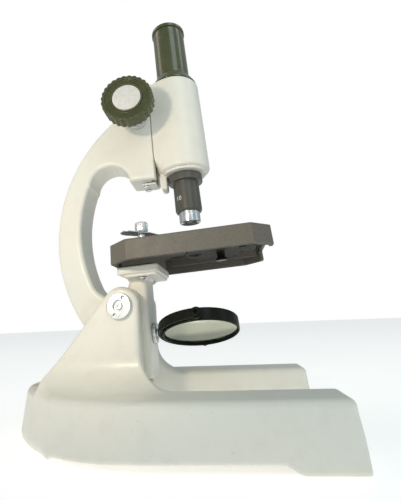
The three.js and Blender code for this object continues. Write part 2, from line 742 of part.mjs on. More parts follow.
function stageScrew(side) {
  const low = BRACKET_BOTTOM - GAP;
  const rows = [
    [0, low - 1.8],
    [2.6, low - 1.8],
    [3.1, low - 1],
    [3.1, low],
    [1.7, low],
    [1.7, 30],
    [0, 30],
  ];
  return turned(rows, 16).translate([STAGE_SCREW.x, side * STAGE_SCREW.y, 0]);
}

function apertureDisc() {
  const disc = rod(DISC_RADIUS, DISC_LEVEL, DISC_LEVEL + DISC_THICKNESS);
  const reach = DISC_CENTRE - OPTICAL_AXIS;
  const holes = DISC_HOLES.map((radius, i) => {
    const angle = Math.PI + (i * 2 * Math.PI) / DISC_HOLES.length;
    return rod(radius, 20, 34, 16).translate([reach * Math.cos(angle), reach * Math.sin(angle), 0]);
  });
  return cut(disc, ...holes, rod(2.2, 20, 34, 12)).translate([DISC_CENTRE, 0, 0]);
}

function discPin() {
  const low = DISC_LEVEL - GAP;
  const rows = [
    [0, 21.9],
    [3.6, 21.9],
    [3.6, 23.2],
    [2.6, 23.8],
    [2.6, low],
    [1.8, low],
    [1.8, low + 1.6],
    [1.3, low + 1.6],
    [1.3, 32],
    [0, 32],
  ];
  return turned(rows, SMALL_ROUND).translate([DISC_CENTRE, 0, 0]);
}

function clipKnob(side) {
  const under = LEAF_LEVEL - GAP;
  const over = LEAF_LEVEL + LEAF_THICKNESS + 2 * GAP;
  const rows = [
    [0, 30],
    [1.5, 30],
    [1.5, STAGE_TOP + GAP],
    [2.4, STAGE_TOP + GAP],
    [2.4, under],
    [1.5, under],
    [1.5, over],
    [3.75, over],
    [3.75, 44.6],
    [3.3, 45.2],
    [0, 45.2],
  ];
  return turned(rows, 24).translate([CLIP_POST.x, side * CLIP_POST.y, 0]);
}

function clipLeaf(side) {
  const spine = [[-13, 0.5], [-9, 0.1], [-4, 0], [4, 0], [28, -3.7], [34, -2.4]];
  const line = (above) => spine.map(([s, v]) => [s, LEAF_LEVEL + v + above]);
  const outline = [...line(0), ...line(LEAF_THICKNESS).reverse()];
  const strip = slabY(polygon(outline), -4.5, 4.5);
  const plan = new THREE.Shape();
  plan.moveTo(-10, -4.5);
  plan.lineTo(26, -3.4);
  plan.quadraticCurveTo(34, -3, 34, 0);
  plan.quadraticCurveTo(34, 3, 26, 3.4);
  plan.lineTo(-10, 4.5);
  plan.quadraticCurveTo(-13.2, 4.2, -13, 0);
  plan.quadraticCurveTo(-13.2, -4.2, -10, -4.5);
  const leaf = cut(strip.intersect(slabZ(plan, 30, 45)), rod(1.9, 30, 45, 12));
  return leaf
    .rotate([0, 0, -side * CLIP_ANGLE])
    .translate([CLIP_POST.x, side * CLIP_POST.y, 0]);
}

// ---------------------------------------------------------------- the mirror
// The stud's axis is X; the fork and cell are drawn about the mirror's centre.
function mirrorBoss() {
  return ring(STUD_RADIUS + GAP, BOSS_RADIUS, POST_FRONT + GAP, 14.4, 24).rotate(ALONG_X);
}

function mirrorStud() {
  return rod(STUD_RADIUS, 3, MIRROR_CENTRE - FORK_RADIUS - GAP, SMALL_ROUND).rotate(ALONG_X);
}

function mirrorFork() {
  const inner = CELL_RADIUS + 0.7;
  const band = new THREE.Shape();
  const quarter = Math.PI / 2;
  band.absarc(0, 0, FORK_RADIUS, quarter, 3 * quarter, false);
  band.lineTo(3, -FORK_RADIUS);
  band.lineTo(3, -inner);
  band.lineTo(0, -inner);
  band.absarc(0, 0, inner, 3 * quarter, quarter, true);
  band.lineTo(3, inner);
  band.lineTo(3, FORK_RADIUS);
  const side = new THREE.Shape();
  side.moveTo(-FORK_RADIUS - 1, -FORK_HEIGHT / 2);
  side.absarc(0, 0, FORK_HEIGHT / 2, -quarter, quarter, false);
  side.lineTo(-FORK_RADIUS - 1, FORK_HEIGHT / 2);
  const half = slabZ(band, -FORK_HEIGHT, FORK_HEIGHT, 16).intersect(slabY(side, -30, 30));
  const holes = rod(FORK_BORE, -40, 40, 12).rotate(ALONG_Y);
  return cut(half, holes);
}

function mirrorScrew(side) {
  const rows = [[0, 0], [1.5, 0], [1.5, 4.2], [2.6, 4.2], [2.6, 5], [0, 5]];
  return outwards(turned(rows, 14), side).translate([0, side * (CELL_RADIUS - 1.3), 0]);
}

function mirrorCell() {
  const half = CELL_HEIGHT / 2;
  const rows = [
    [0, half - 0.6],
    [CELL_RADIUS - 1, half],
    [CELL_RADIUS, half - 0.8],
    [CELL_RADIUS, -half + 0.5],
    [CELL_RADIUS - 0.4, -half],
    [CELL_RADIUS - 1, -half],
    [CELL_RADIUS - 1.1, -0.6],
    [0, -0.6],
  ];
  const holes = [-1, 1].map((side) =>
    outwards(rod(FORK_BORE, 0, 6, 12), side).translate([0, side * (CELL_RADIUS - 1.6), 0]));
  return cut(turned(rows, 48), ...holes);
}

function mirrorGlass() {
  return rod(CELL_RADIUS - 1.5, -2.4, -0.9, 44);
}

// ---------------------------------------------------------------- assembly
function both(make) {
  return [make('near', -1), make('far', 1)];
}

function focusParts() {
  return [
    part('body_tube', bodyTube(), PAINT),
    part('rack', rackBar(), BRASS),
    part('tube_collar', tubeCollar(), BLACK),
    part('eyepiece_tube', eyepieceTube(), BLACK),
    part('eyepiece_cap', eyepieceCap(), BLACK),
    part('eye_lens', lens(9.3, 201.5, 203, 1.8), GLASS),
    part('field_lens', lens(9.3, 178, 179.5, 2), GLASS),
    part('objective_barrel', objectiveBarrel(), BLACK),
    part('objective_sleeve', objectiveSleeve(), BRIGHT),
    part('front_lens', lens(4.1, 50.2, 51, 1.2), GLASS),
  ];
}

function driveParts() {
  return [
    part('pinion_shaft', pinionShaft(), BRIGHT),
    ...both((place, side) => part(`bushing_${place}`, bushing(side), BRIGHT)),
    ...both((place, side) => part(`knob_${place}`, knob(side), BLACK)),
    ...both((place, side) => part(`knob_insert_${place}`, knobInsert(side), WHITE)),
    part('gib_plate', gibPlate(), PAINT),
    ...both((place, side) => part(`gib_screw_${place}`, gibScrew(side), BRIGHT)),
  ];
}

function stageParts() {
  return [
    part('stage', stagePlate(), STAGE_BLACK),
    ...both((place, side) => part(`stage_screw_${place}`, stageScrew(side), BRIGHT)),
    part('aperture_disc', apertureDisc(), BLACK),
    part('disc_pin', discPin(), BLACK),
    ...both((place, side) => part(`clip_knob_${place}`, clipKnob(side), BRIGHT)),
    ...both((place, side) => part(`clip_leaf_${place}`, clipLeaf(side), BRIGHT)),
  ];
}

function mirrorGroup() {
  const head = new THREE.Group();
  head.position.x = MIRROR_CENTRE;
  head.add(
    part('mirror_fork', mirrorFork(), BLACK),
    part('mirror_cell', mirrorCell(), BLACK),
    part('mirror_glass', mirrorGlass(), MIRROR),
    ...both((place, side) => part(`mirror_screw_${place}`, mirrorScrew(side), BLACK)),
  );
  const group = new THREE.Group();
  group.position.z = MIRROR_LEVEL;
  group.rotation.x = MIRROR_TURN;
  group.add(part('mirror_boss', mirrorBoss(), BRIGHT), part('mirror_stud', mirrorStud(), BRIGHT), head);
  return group;
}

function armGroup() {
  const group = new THREE.Group();
  group.position.set(PIVOT_X, 0, PIVOT_HEIGHT);
  group.rotation.y = -TILT;
  group.add(part('arm_casting', armCasting(), PAINT));
  group.add(...driveParts(), ...focusParts(), ...stageParts(), mirrorGroup());
  return group;
}

const microscope = new THREE.Group();
microscope.add(
  part('foot_casting', footCasting(), PAINT),
  part('pivot_bolt', pivotBolt(), BRIGHT),
  ...both((place, side) => part(`pivot_cap_${place}`, pivotCap(side), BRIGHT)),
  armGroup(),
);

export default microscope;
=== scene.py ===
"""Student microscope: cast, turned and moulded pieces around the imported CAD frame.

Shapes are drawn in millimetres and written out in metres. The foot is drawn on the table's axes.
Everything that tilts is drawn on the arm's own axes, from the pivot between the ears: u forward,
y to the left and v up the optical axis.
"""

import itertools
import json
import math

import bpy
import numpy as np
from mathutils import Matrix, Vector


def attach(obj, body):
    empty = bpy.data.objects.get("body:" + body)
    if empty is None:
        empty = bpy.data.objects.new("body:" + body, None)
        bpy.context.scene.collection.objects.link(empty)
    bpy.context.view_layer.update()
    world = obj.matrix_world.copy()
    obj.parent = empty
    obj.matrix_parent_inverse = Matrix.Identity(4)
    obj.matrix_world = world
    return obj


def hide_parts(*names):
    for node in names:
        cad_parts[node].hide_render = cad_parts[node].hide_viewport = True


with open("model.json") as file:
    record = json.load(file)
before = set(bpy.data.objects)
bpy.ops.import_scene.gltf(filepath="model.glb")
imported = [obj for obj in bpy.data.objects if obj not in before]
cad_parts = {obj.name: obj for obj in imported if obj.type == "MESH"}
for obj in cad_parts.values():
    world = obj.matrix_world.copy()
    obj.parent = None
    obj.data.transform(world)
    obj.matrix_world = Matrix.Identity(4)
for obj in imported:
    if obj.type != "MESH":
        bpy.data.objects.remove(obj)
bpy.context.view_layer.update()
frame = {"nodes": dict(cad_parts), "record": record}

MM = 0.001
COARSE = 1.0     # factor on the mesh pitch of the cast pieces

# ---------------- driving dimensions
HEEL, TOE = -84.0, 84.0
FOOT_HALF_WIDTH = 61.0
LEG_WIDTH = 27.6
FOOT_HEIGHT = 25.0
HEEL_RAISE, FOOT_RAISE = 1.8, 3.2      # the underside clears the table, less behind than in front
FOOT_WALL = 4.0
FOOT_DRAFT = 0.06                       # how far the sides lean in, per unit of height
PIVOT_X, PIVOT_Z = HEEL + 61.5, 65.0
PIVOT_BORE, BOLT_RADIUS = 4.3, 4.0
CAP_RADIUS, CAP_HEIGHT, CAP_RECESS = 6.8, 2.4, 3.1
CAP_HOLE, CAP_HOLE_REACH = 0.9, 4.9
EAR_INNER, EAR_OUTER, EAR_RADIUS = 12.0, 28.3, 10.2
EAR_CENTRE = (PIVOT_X - 0.2, PIVOT_Z + 0.3)
EAR_LEAN = 0.8                          # how far the ears' front edges run forward lower down
EAR_SLOPE = 1.3                         # rise over run of the ears' straight backs
EAR_FILLET, SIDE_FILLET = 18.0, 15.0
SLOT_FLOOR = 23.0
TILT = math.radians(4)

ARM_HALF = 11.5
ARM_OUTER_RADIUS, ARM_LOWER_RADIUS, ARM_INNER_RADIUS = 105.4, 95.0, 86.0
ARM_BACK, ARM_MID = -44.2, 46.0
ARM_INNER_BACK, ARM_INNER_MID = -28.8, 50.0
HEAD_FRONT, HEAD_BOTTOM = 23.0, 79.5
ARCH_RADIUS, ARCH_U, ARCH_V = 13.8, -8.6, 80.5
POST_BACK, POST_FRONT, POST_BOTTOM = 1.0, 12.0, -39.0
THROAT = 14.0                           # the arm's inner curve starts this high
BRACKET_HALF, BRACKET_BACK, BRACKET_FRONT = 22.0, -3.0, 21.4
BRACKET_BOTTOM, BRACKET_TOP = 15.8, 22.0
GIB_BACK, GIB_FRONT, GIB_HALF = 12.5, 22.4, 6.0
GIB_SCREW = (15.2, 4.2)

AXIS = 42.1                             # optical axis, in front of the pivot
BODY_RADIUS, BODY_BOTTOM, BODY_TOP = 17.9, 83.5, 155.0
BODY_BACK, BODY_BLOCK_BOTTOM = 23.7, 91.0
LUG_BOTTOM, LUG_BACK, LUG_FRONT, LUG_HALF = 73.0, 25.5, 29.8, 5.0
TONGUE_BACK, TONGUE_FRONT, TONGUE_HALF, TONGUE_TOP = 19.9, 21.4, 7.0, 144.0
NECK_HALF, RACK_CHANNEL = 4.8, 3.3
COLLAR_RADIUS, COLLAR_HEIGHT = 17.2, 8.0
TUBE_RADIUS, TUBE_BORE = 12.45, 11.45
TUBE_BOTTOM, TUBE_TOP, EYEPIECE_TOP = 126.0, 207.6, 210.8
EYEPIECE_RADIUS, EYEPIECE_BORE, EYEPIECE_BOTTOM, EYE_HOLE = 13.2, 9.6, 176.0, 6.0
LENS_RADIUS, FRONT_LENS_RADIUS = 9.3, 4.1
BARREL_BORE, BARREL_HEAD, BARREL_BOTTOM = 7.3, 11.8, 55.9
THREAD_RADIUS, THREAD_TOP = 9.5, 92.0
NOSE_RADIUS, NOSE_BORE, NOSE_BOTTOM, NOSE_TOP = 7.0, 4.4, 48.6, 68.0
TUBE_LINES = (166.5, 199.5)             # faint turned lines round the tube

PINION_U, PINION_V = 13.9, 124.3
SHAFT_BORE = 3.1
BUSHING_RADIUS, BUSHING_FLANGE, BUSHING_COLLAR, BUSHING_END = 3.6, 5.8, 4.8, 20.8
KNOB_RADIUS, KNOB_FACE, KNOB_WIDTH, FLUTES = 16.8, 42.6, 9.4, 27
INSERT_RADIUS, DISH_INNER, DISH_OUTER = 9.2, 10.4, 14.2

STAGE_LENGTH, STAGE_WIDTH = 92.0, 81.6
STAGE_BOTTOM, STAGE_TOP = 22.3, 33.9
STAGE_CORNER, STAGE_WALL = 11.3, 2.4
STAGE_SCREW = (10.5, 15.2)
PAD_BACK, PAD_FRONT = -1.0, 20.4
LIGHT_HOLE, RIB_FROM_MIDDLE = 5.5, 27.0
CLIP_POST = (14.8, 28.0)
CLIP_ANGLE = math.radians(42)
LEAF_BACK, LEAF_FRONT, LEAF_HALF, LEAF_THICKNESS = -13.0, 34.0, 4.5, 0.6
DISC_RADIUS, DISC_CENTRE, DISC_LEVEL, DISC_THICKNESS = 22.6, 58.9, 27.2, 1.3
DISC_HOLES = (4.6, 3.6, 2.7, 1.9, 1.2)

MIRROR_LEVEL, MIRROR_CENTRE = -16.0, 40.6
MIRROR_TURN = math.radians(-19.5)
CELL_RADIUS, CELL_HEIGHT = 23.0, 7.2
FORK_RADIUS, FORK_HEIGHT, FORK_BORE = 25.3, 5.6, 1.8
STUD_RADIUS, BOSS_RADIUS, BOSS_FACE = 2.3, 6.1, 14.4

SIDES = {"near": -1, "far": 1}

# ---------------- axes
TABLE = Matrix.Identity(4)
PIVOT = Matrix.Translation((PIVOT_X, 0, PIVOT_Z))
ARM = PIVOT @ Matrix.Rotation(-TILT, 4, "Y")
OPTICS = ARM @ Matrix.Translation((AXIS, 0, 0))
STUD = ARM @ Matrix.Translation((0, 0, MIRROR_LEVEL))
FORWARD = Matrix.Rotation(math.pi / 2, 4, "Y")
MIRROR_AXIS = STUD @ Matrix.Rotation(MIRROR_TURN, 4, "X")
MIRROR = MIRROR_AXIS @ Matrix.Translation((MIRROR_CENTRE, 0, 0))


def added(name, data):
    made = bpy.data.objects.new(name, data)
    bpy.context.scene.collection.objects.link(made)
    return made


def facing(side):
    """Turns the z axis outwards, to the near side or the far side."""
    return Matrix.Rotation(math.radians(-90 * side), 4, "X")


# ---------------- finishes
class Finish:
    """A node material under construction: a Principled shader and the nodes that feed it."""

    def __init__(self, name, color, roughness, metallic=0.0, **sockets):
        self.material = bpy.data.materials.new(name)
        self.material.use_nodes = True
        self.tree = self.material.node_tree
        self.shader = self.tree.nodes["Principled BSDF"]
        self.color = (*color, 1.0)
        self.shader.inputs["Base Color"].default_value = self.color
        self.shader.inputs["Roughness"].default_value = roughness
        self.shader.inputs["Metallic"].default_value = metallic
        for socket, value in sockets.items():
            self.shader.inputs[socket.replace("_", " ")].default_value = value
        self.place = self.node("ShaderNodeTexCoord").outputs["Object"]

    def node(self, kind, **values):
        made = self.tree.nodes.new(kind)
        for name, value in values.items():
            setattr(made, name, value)
        return made

    def link(self, source, target):
        self.tree.links.new(source, target)

    def stretched(self, scale):
        mapping = self.node("ShaderNodeMapping")
        mapping.inputs["Scale"].default_value = scale
        self.link(self.place, mapping.inputs["Vector"])
        return mapping.outputs["Vector"]

    def noise(self, size_mm, detail, stretch=None):
        """Noise whose features are about size_mm across, from 0 to 1."""
        made = self.node("ShaderNodeTexNoise")
        made.inputs["Scale"].default_value = 1 / (size_mm * MM)
        made.inputs["Detail"].default_value = detail
        self.link(self.stretched(stretch) if stretch else self.place, made.inputs["Vector"])
        return made.outputs["Fac"]

    def cells(self, size_mm):
        made = self.node("ShaderNodeTexVoronoi", feature="F1")
        made.inputs["Scale"].default_value = 1 / (size_mm * MM)
        self.link(self.place, made.inputs["Vector"])
        return made.outputs["Distance"]

    def spread(self, value, low, high, to_low=0.0, to_high=1.0):
        made = self.node("ShaderNodeMapRange")
        sockets = ("From Min", "From Max", "To Min", "To Max")
        for socket, number in zip(sockets, (low, high, to_low, to_high)):
            made.inputs[socket].default_value = number
        self.link(value, made.inputs["Value"])
        return made.outputs["Result"]

    def times(self, first, second):
        made = self.node("ShaderNodeMath", operation="MULTIPLY")
        for socket, value in zip(made.inputs, (first, second)):
            if isinstance(value, float):
                socket.default_value = value
            else:
                self.link(value, socket)
        return made.outputs["Value"]

    def tint(self, factor, other):
        """Mixes the colour so far towards another one, by factor."""
        made = self.node("ShaderNodeMix", data_type="RGBA")
        base = self.shader.inputs["Base Color"]
        if base.is_linked:
            self.link(base.links[0].from_socket, made.inputs["A"])
        else:
            made.inputs["A"].default_value = self.color
        made.inputs["B"].default_value = (*other, 1.0)
        self.link(factor, made.inputs["Factor"])
        self.link(made.outputs["Result"], base)

    def bump(self, height, depth_mm):
        """Adds relief of depth_mm under what is there already."""
        made = self.node("ShaderNodeBump")
        made.inputs["Strength"].default_value = 1.0
        made.inputs["Distance"].default_value = depth_mm * MM
        normal = self.shader.inputs["Normal"]
        if normal.is_linked:
            self.link(normal.links[0].from_socket, made.inputs["Normal"])
        self.link(height, made.inputs["Height"])
        self.link(made.outputs["Normal"], normal)

    def underside(self):
        """1 on faces that look down, 0 elsewhere: the mask for painted shade under a piece."""
        parts = self.node("ShaderNodeSeparateXYZ")
        self.link(self.node("ShaderNodeNewGeometry").outputs["Normal"], parts.inputs["Vector"])
        return self.spread(parts.outputs["Z"], -0.6, -0.95)

    def edges(self, low, high):
        """1 on sharp outer edges, 0 elsewhere."""
        return self.spread(self.node("ShaderNodeNewGeometry").outputs["Pointiness"], low, high)

    def mottle(self, size_mm, detail, low, high, color, amount=1.0):
        """Patches of another colour, growing where the noise rises from low to high."""
        patches = self.spread(self.noise(size_mm, detail), low, high)
        self.tint(self.times(patches, amount), color)

    def edge_wear_and_highlight(self, low, high, color, amount):
        """Tints the sharp outer edges to another colour: rubbed wear, and on the aperture wheel a
        painted highlight.
        """
        self.tint(self.times(self.edges(low, high), amount), color)

    def uneven(self, size_mm, detail, low, high, smoothest, roughest):
        """Lets the roughness wander between two values."""
        roughness = self.spread(self.noise(size_mm, detail), low, high, smoothest, roughest)
        self.link(roughness, self.shader.inputs["Roughness"])


def paint_finish():
    """Cream stove enamel on a sand-textured casting, satin."""
    made = Finish("cream_enamel", (0.84, 0.80, 0.71), 0.42, Coat_Weight=0.25, Coat_Roughness=0.22)
    made.mottle(60, 2, 0.35, 0.7, (0.80, 0.79, 0.71))
    made.mottle(9, 6, 0.5, 0.8, (0.70, 0.66, 0.56), 0.35)
    made.mottle(0.9, 2, 0.70, 0.76, (0.42, 0.38, 0.31), 0.35)
    made.edge_wear_and_highlight(0.53, 0.60, (0.86, 0.83, 0.76), 0.35)
    made.uneven(5, 5, 0.3, 0.7, 0.36, 0.52)
    made.bump(made.noise(3.2, 3), 0.10)
    made.bump(made.noise(0.8, 2), 0.035)
    return made.material


def tube_finish():
    """Black enamel with a satin gloss and faint turning lines."""
    made = Finish("black_enamel", (0.055, 0.062, 0.014), 0.24,
                  Coat_Weight=0.65, Coat_Roughness=0.07)
    made.mottle(14, 3, 0.4, 0.7, (0.070, 0.074, 0.026))
    made.mottle(0.6, 2, 0.68, 0.74, (0.16, 0.15, 0.12), 0.5)
    made.edge_wear_and_highlight(0.54, 0.62, (0.13, 0.12, 0.10), 0.5)
    made.uneven(4, 5, 0.3, 0.7, 0.20, 0.34)
    made.bump(made.noise(1.2, 3), 0.008)
    return made.material


def dark_finish(name, color, roughness, patches, rub_and_highlight, spread, grain, **sockets):
    """Black with patches, lighter edges (rubbed wear, and on the aperture wheel a painted
    highlight), an uneven gloss and a grain of (size, depth).
    """
    made = Finish(name, color, roughness, **sockets)
    made.mottle(*patches)
    made.edge_wear_and_highlight(*rub_and_highlight)
    made.uneven(*spread)
    made.bump(made.noise(grain[0], 3), grain[1])
    return made.material


def stage_finish():
    """Dark moulded plastic with a fine leather grain, and painted shade on its downward faces."""
    made = Finish("grained_black_plastic", (0.150, 0.133, 0.104), 0.50)
    made.mottle(30, 2, 0.35, 0.7, (0.155, 0.138, 0.115))
    made.tint(made.times(made.spread(made.cells(0.9), 0.2, 0.75), 0.45), (0.09, 0.084, 0.070))
    # painted shade: faces that look down are tinted near black, standing in for the shadow under
    # the stage
    made.tint(made.times(made.underside(), 0.8), (0.020, 0.021, 0.014))
    made.edge_wear_and_highlight(0.53, 0.60, (0.17, 0.16, 0.13), 0.5)
    made.uneven(6, 4, 0.3, 0.7, 0.46, 0.62)
    made.bump(made.cells(0.9), 0.06)
    made.bump(made.noise(0.5, 4), 0.03)
    return made.material


def bright_finish(name="bright_nickel", color=(0.76, 0.78, 0.79), roughness=0.28):
    """Plated and turned metal, with fine tool marks."""
    made = Finish(name, color, roughness, 1.0)
    made.mottle(7, 3, 0.45, 0.75, tuple(0.85 * c for c in color), 0.4)
    made.uneven(3, 4, 0.3, 0.7, roughness * 0.85, roughness * 1.3)
    made.bump(made.noise(0.8, 2, (1, 1, 4)), 0.001)
    return made.material


def white_finish():
    """Matt off-white disc with a faint pearly mottle."""
    made = Finish("white_disc_plastic", (0.60, 0.585, 0.55), 0.55)
    made.mottle(2.2, 4, 0.4, 0.7, (0.68, 0.67, 0.64))
    made.mottle(0.5, 2, 0.62, 0.70, (0.48, 0.45, 0.40), 0.4)
    made.uneven(3, 4, 0.3, 0.7, 0.45, 0.65)
    made.bump(made.noise(0.6, 3), 0.02)
    return made.material


def lens_finish():
    """Coated optical glass over a dark barrel."""
    made = Finish("coated_glass", (0.42, 0.46, 0.52), 0.05, Transmission_Weight=0.6, IOR=1.52)
    made.mottle(3, 3, 0.5, 0.8, (0.55, 0.42, 0.30), 0.3)
    made.uneven(2, 4, 0.4, 0.8, 0.03, 0.12)
    made.bump(made.noise(1.5, 2), 0.002)
    return made.material


def mirror_finish():
    """Silvered glass with a little dust."""
    made = Finish("silvered_glass", (0.66, 0.70, 0.63), 0.05, 1.0)
    made.mottle(12, 4, 0.45, 0.75, (0.58, 0.61, 0.55), 0.4)
    made.mottle(0.7, 2, 0.66, 0.72, (0.42, 0.42, 0.38), 0.35)
    made.uneven(4, 5, 0.35, 0.75, 0.05, 0.20)
    made.bump(made.noise(6, 2), 0.004)
    return made.material


def mark_finish():
    """White filling of the engraved figures."""
    made = Finish("white_marking", (0.82, 0.82, 0.78), 0.5)
    made.mottle(0.4, 3, 0.45, 0.7, (0.62, 0.61, 0.57))
    made.bump(made.noise(0.2, 2), 0.01)
    return made.material


FINISHES = {
    "paint": paint_finish(),
    "tube_black": tube_finish(),
    "mirror_black": dark_finish(
        "deep_black_enamel", (0.009, 0.010, 0.007), 0.30, (10, 3, 0.4, 0.7, (0.016, 0.016, 0.011)),
        (0.53, 0.60, (0.07, 0.065, 0.05), 0.5), (3, 5, 0.3, 0.7, 0.20, 0.36), (0.9, 0.015),
        Specular_IOR_Level=0.11),
    "knob_plastic": dark_finish(
        "black_knob_plastic", (0.052, 0.060, 0.019), 0.26, (8, 3, 0.4, 0.7, (0.074, 0.080, 0.034)),
        (0.53, 0.60, (0.13, 0.13, 0.10), 0.6), (2.5, 5, 0.3, 0.7, 0.20, 0.36), (0.7, 0.02)),
    "stage_plastic": stage_finish(),
    "bright_metal": bright_finish(),
    "brass": bright_finish("machined_brass", (0.70, 0.52, 0.25), 0.28),
    "white_plastic": white_finish(),
    "lens_glass": lens_finish(),
    "mirror_glass": mirror_finish(),
}
MARKING = mark_finish()
WHEEL = dark_finish(
    "matt_black_wheel", (0.022, 0.023, 0.014), 0.62, (5, 3, 0.4, 0.7, (0.034, 0.035, 0.022)),
    # painted highlight: the bright olive edge tint stands in for the glint along the wheel's
    # knurled rim
    (0.52, 0.58, (0.22, 0.21, 0.15), 0.6), (2, 4, 0.3, 0.7, 0.52, 0.70), (0.7, 0.01),
    Specular_IOR_Level=0.12)
BARREL = dark_finish(
    "satin_black_barrel", (0.078, 0.078, 0.063), 0.42, (6, 3, 0.4, 0.7, (0.082, 0.080, 0.068)),
    (0.54, 0.62, (0.16, 0.155, 0.13), 0.5), (3, 4, 0.3, 0.7, 0.36, 0.48), (0.6, 0.008),
    Coat_Weight=0.3, Coat_Roughness=0.2)


# ---------------- pieces
def piece(name, points, faces, body, slot, nodes=(), axes=TABLE, normals=None, crease=35.0):
    """A mesh object from points in millimetres on the given axes, riding on a body."""
    mesh = bpy.data.meshes.new(name)
    points = [tuple(p) for p in np.asarray(points, float)]
    mesh.from_pydata(points, [], [tuple(map(int, f)) for f in faces])
    mesh.transform(Matrix.Diagonal((MM, MM, MM, 1)) @ axes)
    mesh.shade_smooth()
    if normals is None:
        mesh.set_sharp_from_angle(angle=math.radians(crease))
    mesh.update()
    made = added(name, mesh)
    made.data.materials.append(FINISHES[slot])
    bpy.context.view_layer.update()
    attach(made, body)
    if nodes:
        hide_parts(*nodes)
    return made


def filleted(rows, segments=5):
    """Rows of (radius, height, fillet) as a profile with its corners rounded."""
    rows = [(*row, 0.0)[:3] for row in rows]
    points = []
    for index, (x, z, fillet) in enumerate(rows):
        corner = np.array((x, z))
        before = np.array(rows[index - 1][:2]) - corner
        after = np.array(rows[(index + 1) % len(rows)][:2]) - corner
        if not fillet or index in (0, len(rows) - 1):
            points.append(corner)
            continue
        start, end = (fillet * way / np.linalg.norm(way) for way in (before, after))
        for t in np.linspace(0, 1, segments):
            points.append(corner + start * (1 - t) ** 2 + end * t ** 2)
    return points


def turned(name, rows, body, slot, nodes=(), axes=TABLE, sides=96, knurl=None, crease=35.0):
    """A turned piece on the z axis. Its profile starts and ends on the axis, or closes on itself.
    knurl is (low, high, count, depth): radius ridges between two heights."""
    sides = int(sides / COARSE)
    profile = filleted(rows)
    closed = rows[0][0] > 0
    if closed:
        profile = profile[:-1]
    points, rings = [], []
    for radius, height in profile:
        if radius < 1e-6:
            rings.append([len(points)] * sides)
            points.append((0, 0, height))
            continue
        rings.append(range(len(points), len(points) + sides))
        for turn in np.arange(sides) * 2 * math.pi / sides:
            reach = radius
            if knurl and knurl[0] <= height <= knurl[1]:
                reach -= knurl[3] * (0.5 - 0.5 * math.cos(turn * knurl[2]))
            points.append((reach * math.cos(turn), reach * math.sin(turn), height))
    faces = []
    pairs = list(zip(rings, rings[1:])) + ([(rings[-1], rings[0])] if closed else [])
    for low, high in pairs:
        for i in range(sides):
            j = (i + 1) % sides
            corners = dict.fromkeys((low[i], low[j], high[j], high[i]))
            if len(corners) > 2:
                faces.append(tuple(corners))
    return piece(name, points, faces, body, slot, nodes, axes, crease=crease)


# ---------------- cast shapes from distance fields
CORNERS = np.array(list(itertools.product((0, 1), repeat=3)))
EDGES = [(a, b) for a, b in itertools.combinations(range(8), 2)
         if abs(CORNERS[a] - CORNERS[b]).sum() == 1]


def both_of(a, b, radius):
    """Where two fields overlap, with the edge rounded."""
    outside = np.hypot(np.maximum(radius + a, 0), np.maximum(radius + b, 0))
    return np.minimum(-radius, np.maximum(a, b)) + outside


def either_of(a, b, radius):
    """Two fields joined, with a fillet between them."""
    outside = np.hypot(np.maximum(radius - a, 0), np.maximum(radius - b, 0))
    return np.maximum(radius, np.minimum(a, b)) - outside


def without(a, b, radius):
    return both_of(a, -b, radius)


def slab(x, low, high):
    return np.maximum(low - x, x - high)


def bezier(*controls, steps=14):
    """Points of a quadratic or cubic curve, without its first one."""
    t = np.linspace(0, 1, steps + 1)[1:, None]
    points = [np.array(p, float) for p in controls]
    while len(points) > 1:
        points = [a * (1 - t) + b * t for a, b in zip(points, points[1:])]
    return [tuple(p) for p in points[0]]


def arc(x, y, radius, start, end, steps=24):
    turns = np.linspace(start, end, steps + 1)
    return [(x + radius * math.cos(t), y + radius * math.sin(t)) for t in turns]


def outline(x, y, points):
    """Signed distance to a closed outline, negative inside."""
    nearest = None
    inside = None
    for (ax, ay), (bx, by) in zip(points, points[1:] + points[:1]):
        ex, ey = bx - ax, by - ay
        if abs(ex) + abs(ey) < 1e-9:
            continue
        wx, wy = x - ax, y - ay
        along = np.clip((wx * ex + wy * ey) / (ex * ex + ey * ey), 0, 1)
        gap = (wx - ex * along) ** 2 + (wy - ey * along) ** 2
        crossing = ((ay > y) != (by > y)) & (x < ax + (y - ay) * ex / (ey if ey else 1e-9))
        nearest = gap if nearest is None else np.minimum(nearest, gap)
        inside = crossing if inside is None else inside ^ crossing
    return np.where(inside, -1, 1) * np.sqrt(nearest)


def slope(field, points, reach):
    """Direction in which the field grows, at points."""
    steps = np.eye(3) * reach
    grows = [field(*(points + s).T) - field(*(points - s).T) for s in steps]
    return np.stack(grows, 1) / (2 * reach)


def isosurface(field, low, high, pitch):
    """Mesh of the surface where field is zero: a point in each cell it crosses, moved onto it."""
    low = np.array(low, float) - 1.5 * pitch
    counts = np.ceil((np.array(high) - low) / pitch + 1.5).astype(int) + 1
    lines = [low[i] + pitch * np.arange(counts[i]) for i in range(3)]
    grid = np.meshgrid(*lines, indexing="ij", sparse=True)
    values = np.array(np.broadcast_to(field(*grid), counts))
    inside = values < 0
    cells = counts - 1
    windows = [inside[i:i + cells[0], j:j + cells[1], k:k + cells[2]] for i, j, k in CORNERS]
    active = np.logical_or.reduce(windows) & ~np.logical_and.reduce(windows)
    index = np.full(tuple(cells), -1)
    base = np.argwhere(active)
    index[active] = np.arange(len(base))
    at = [values[tuple((base + corner).T)] for corner in CORNERS]
    total, hits = np.zeros((len(base), 3)), np.zeros((len(base), 1))
    for a, b in EDGES:
        crosses = ((at[a] < 0) != (at[b] < 0))[:, None]
        fall = np.where(at[a] == at[b], 1, at[a] - at[b])
        step = np.where(crosses[:, 0], at[a] / fall, 0)[:, None]
        total += crosses * (CORNERS[a] + step * (CORNERS[b] - CORNERS[a]))
        hits += crosses
    points = low + pitch * (base + total / hits)
    for _ in range(4):
        grows = slope(field, points, 0.02 * pitch)
        length = np.maximum((grows ** 2).sum(1), 0.05)
        shift = np.clip(field(*points.T) / length, -0.4 * pitch, 0.4 * pitch)
        points -= shift[:, None] * grows
    return points, surface_faces(inside, index, cells)


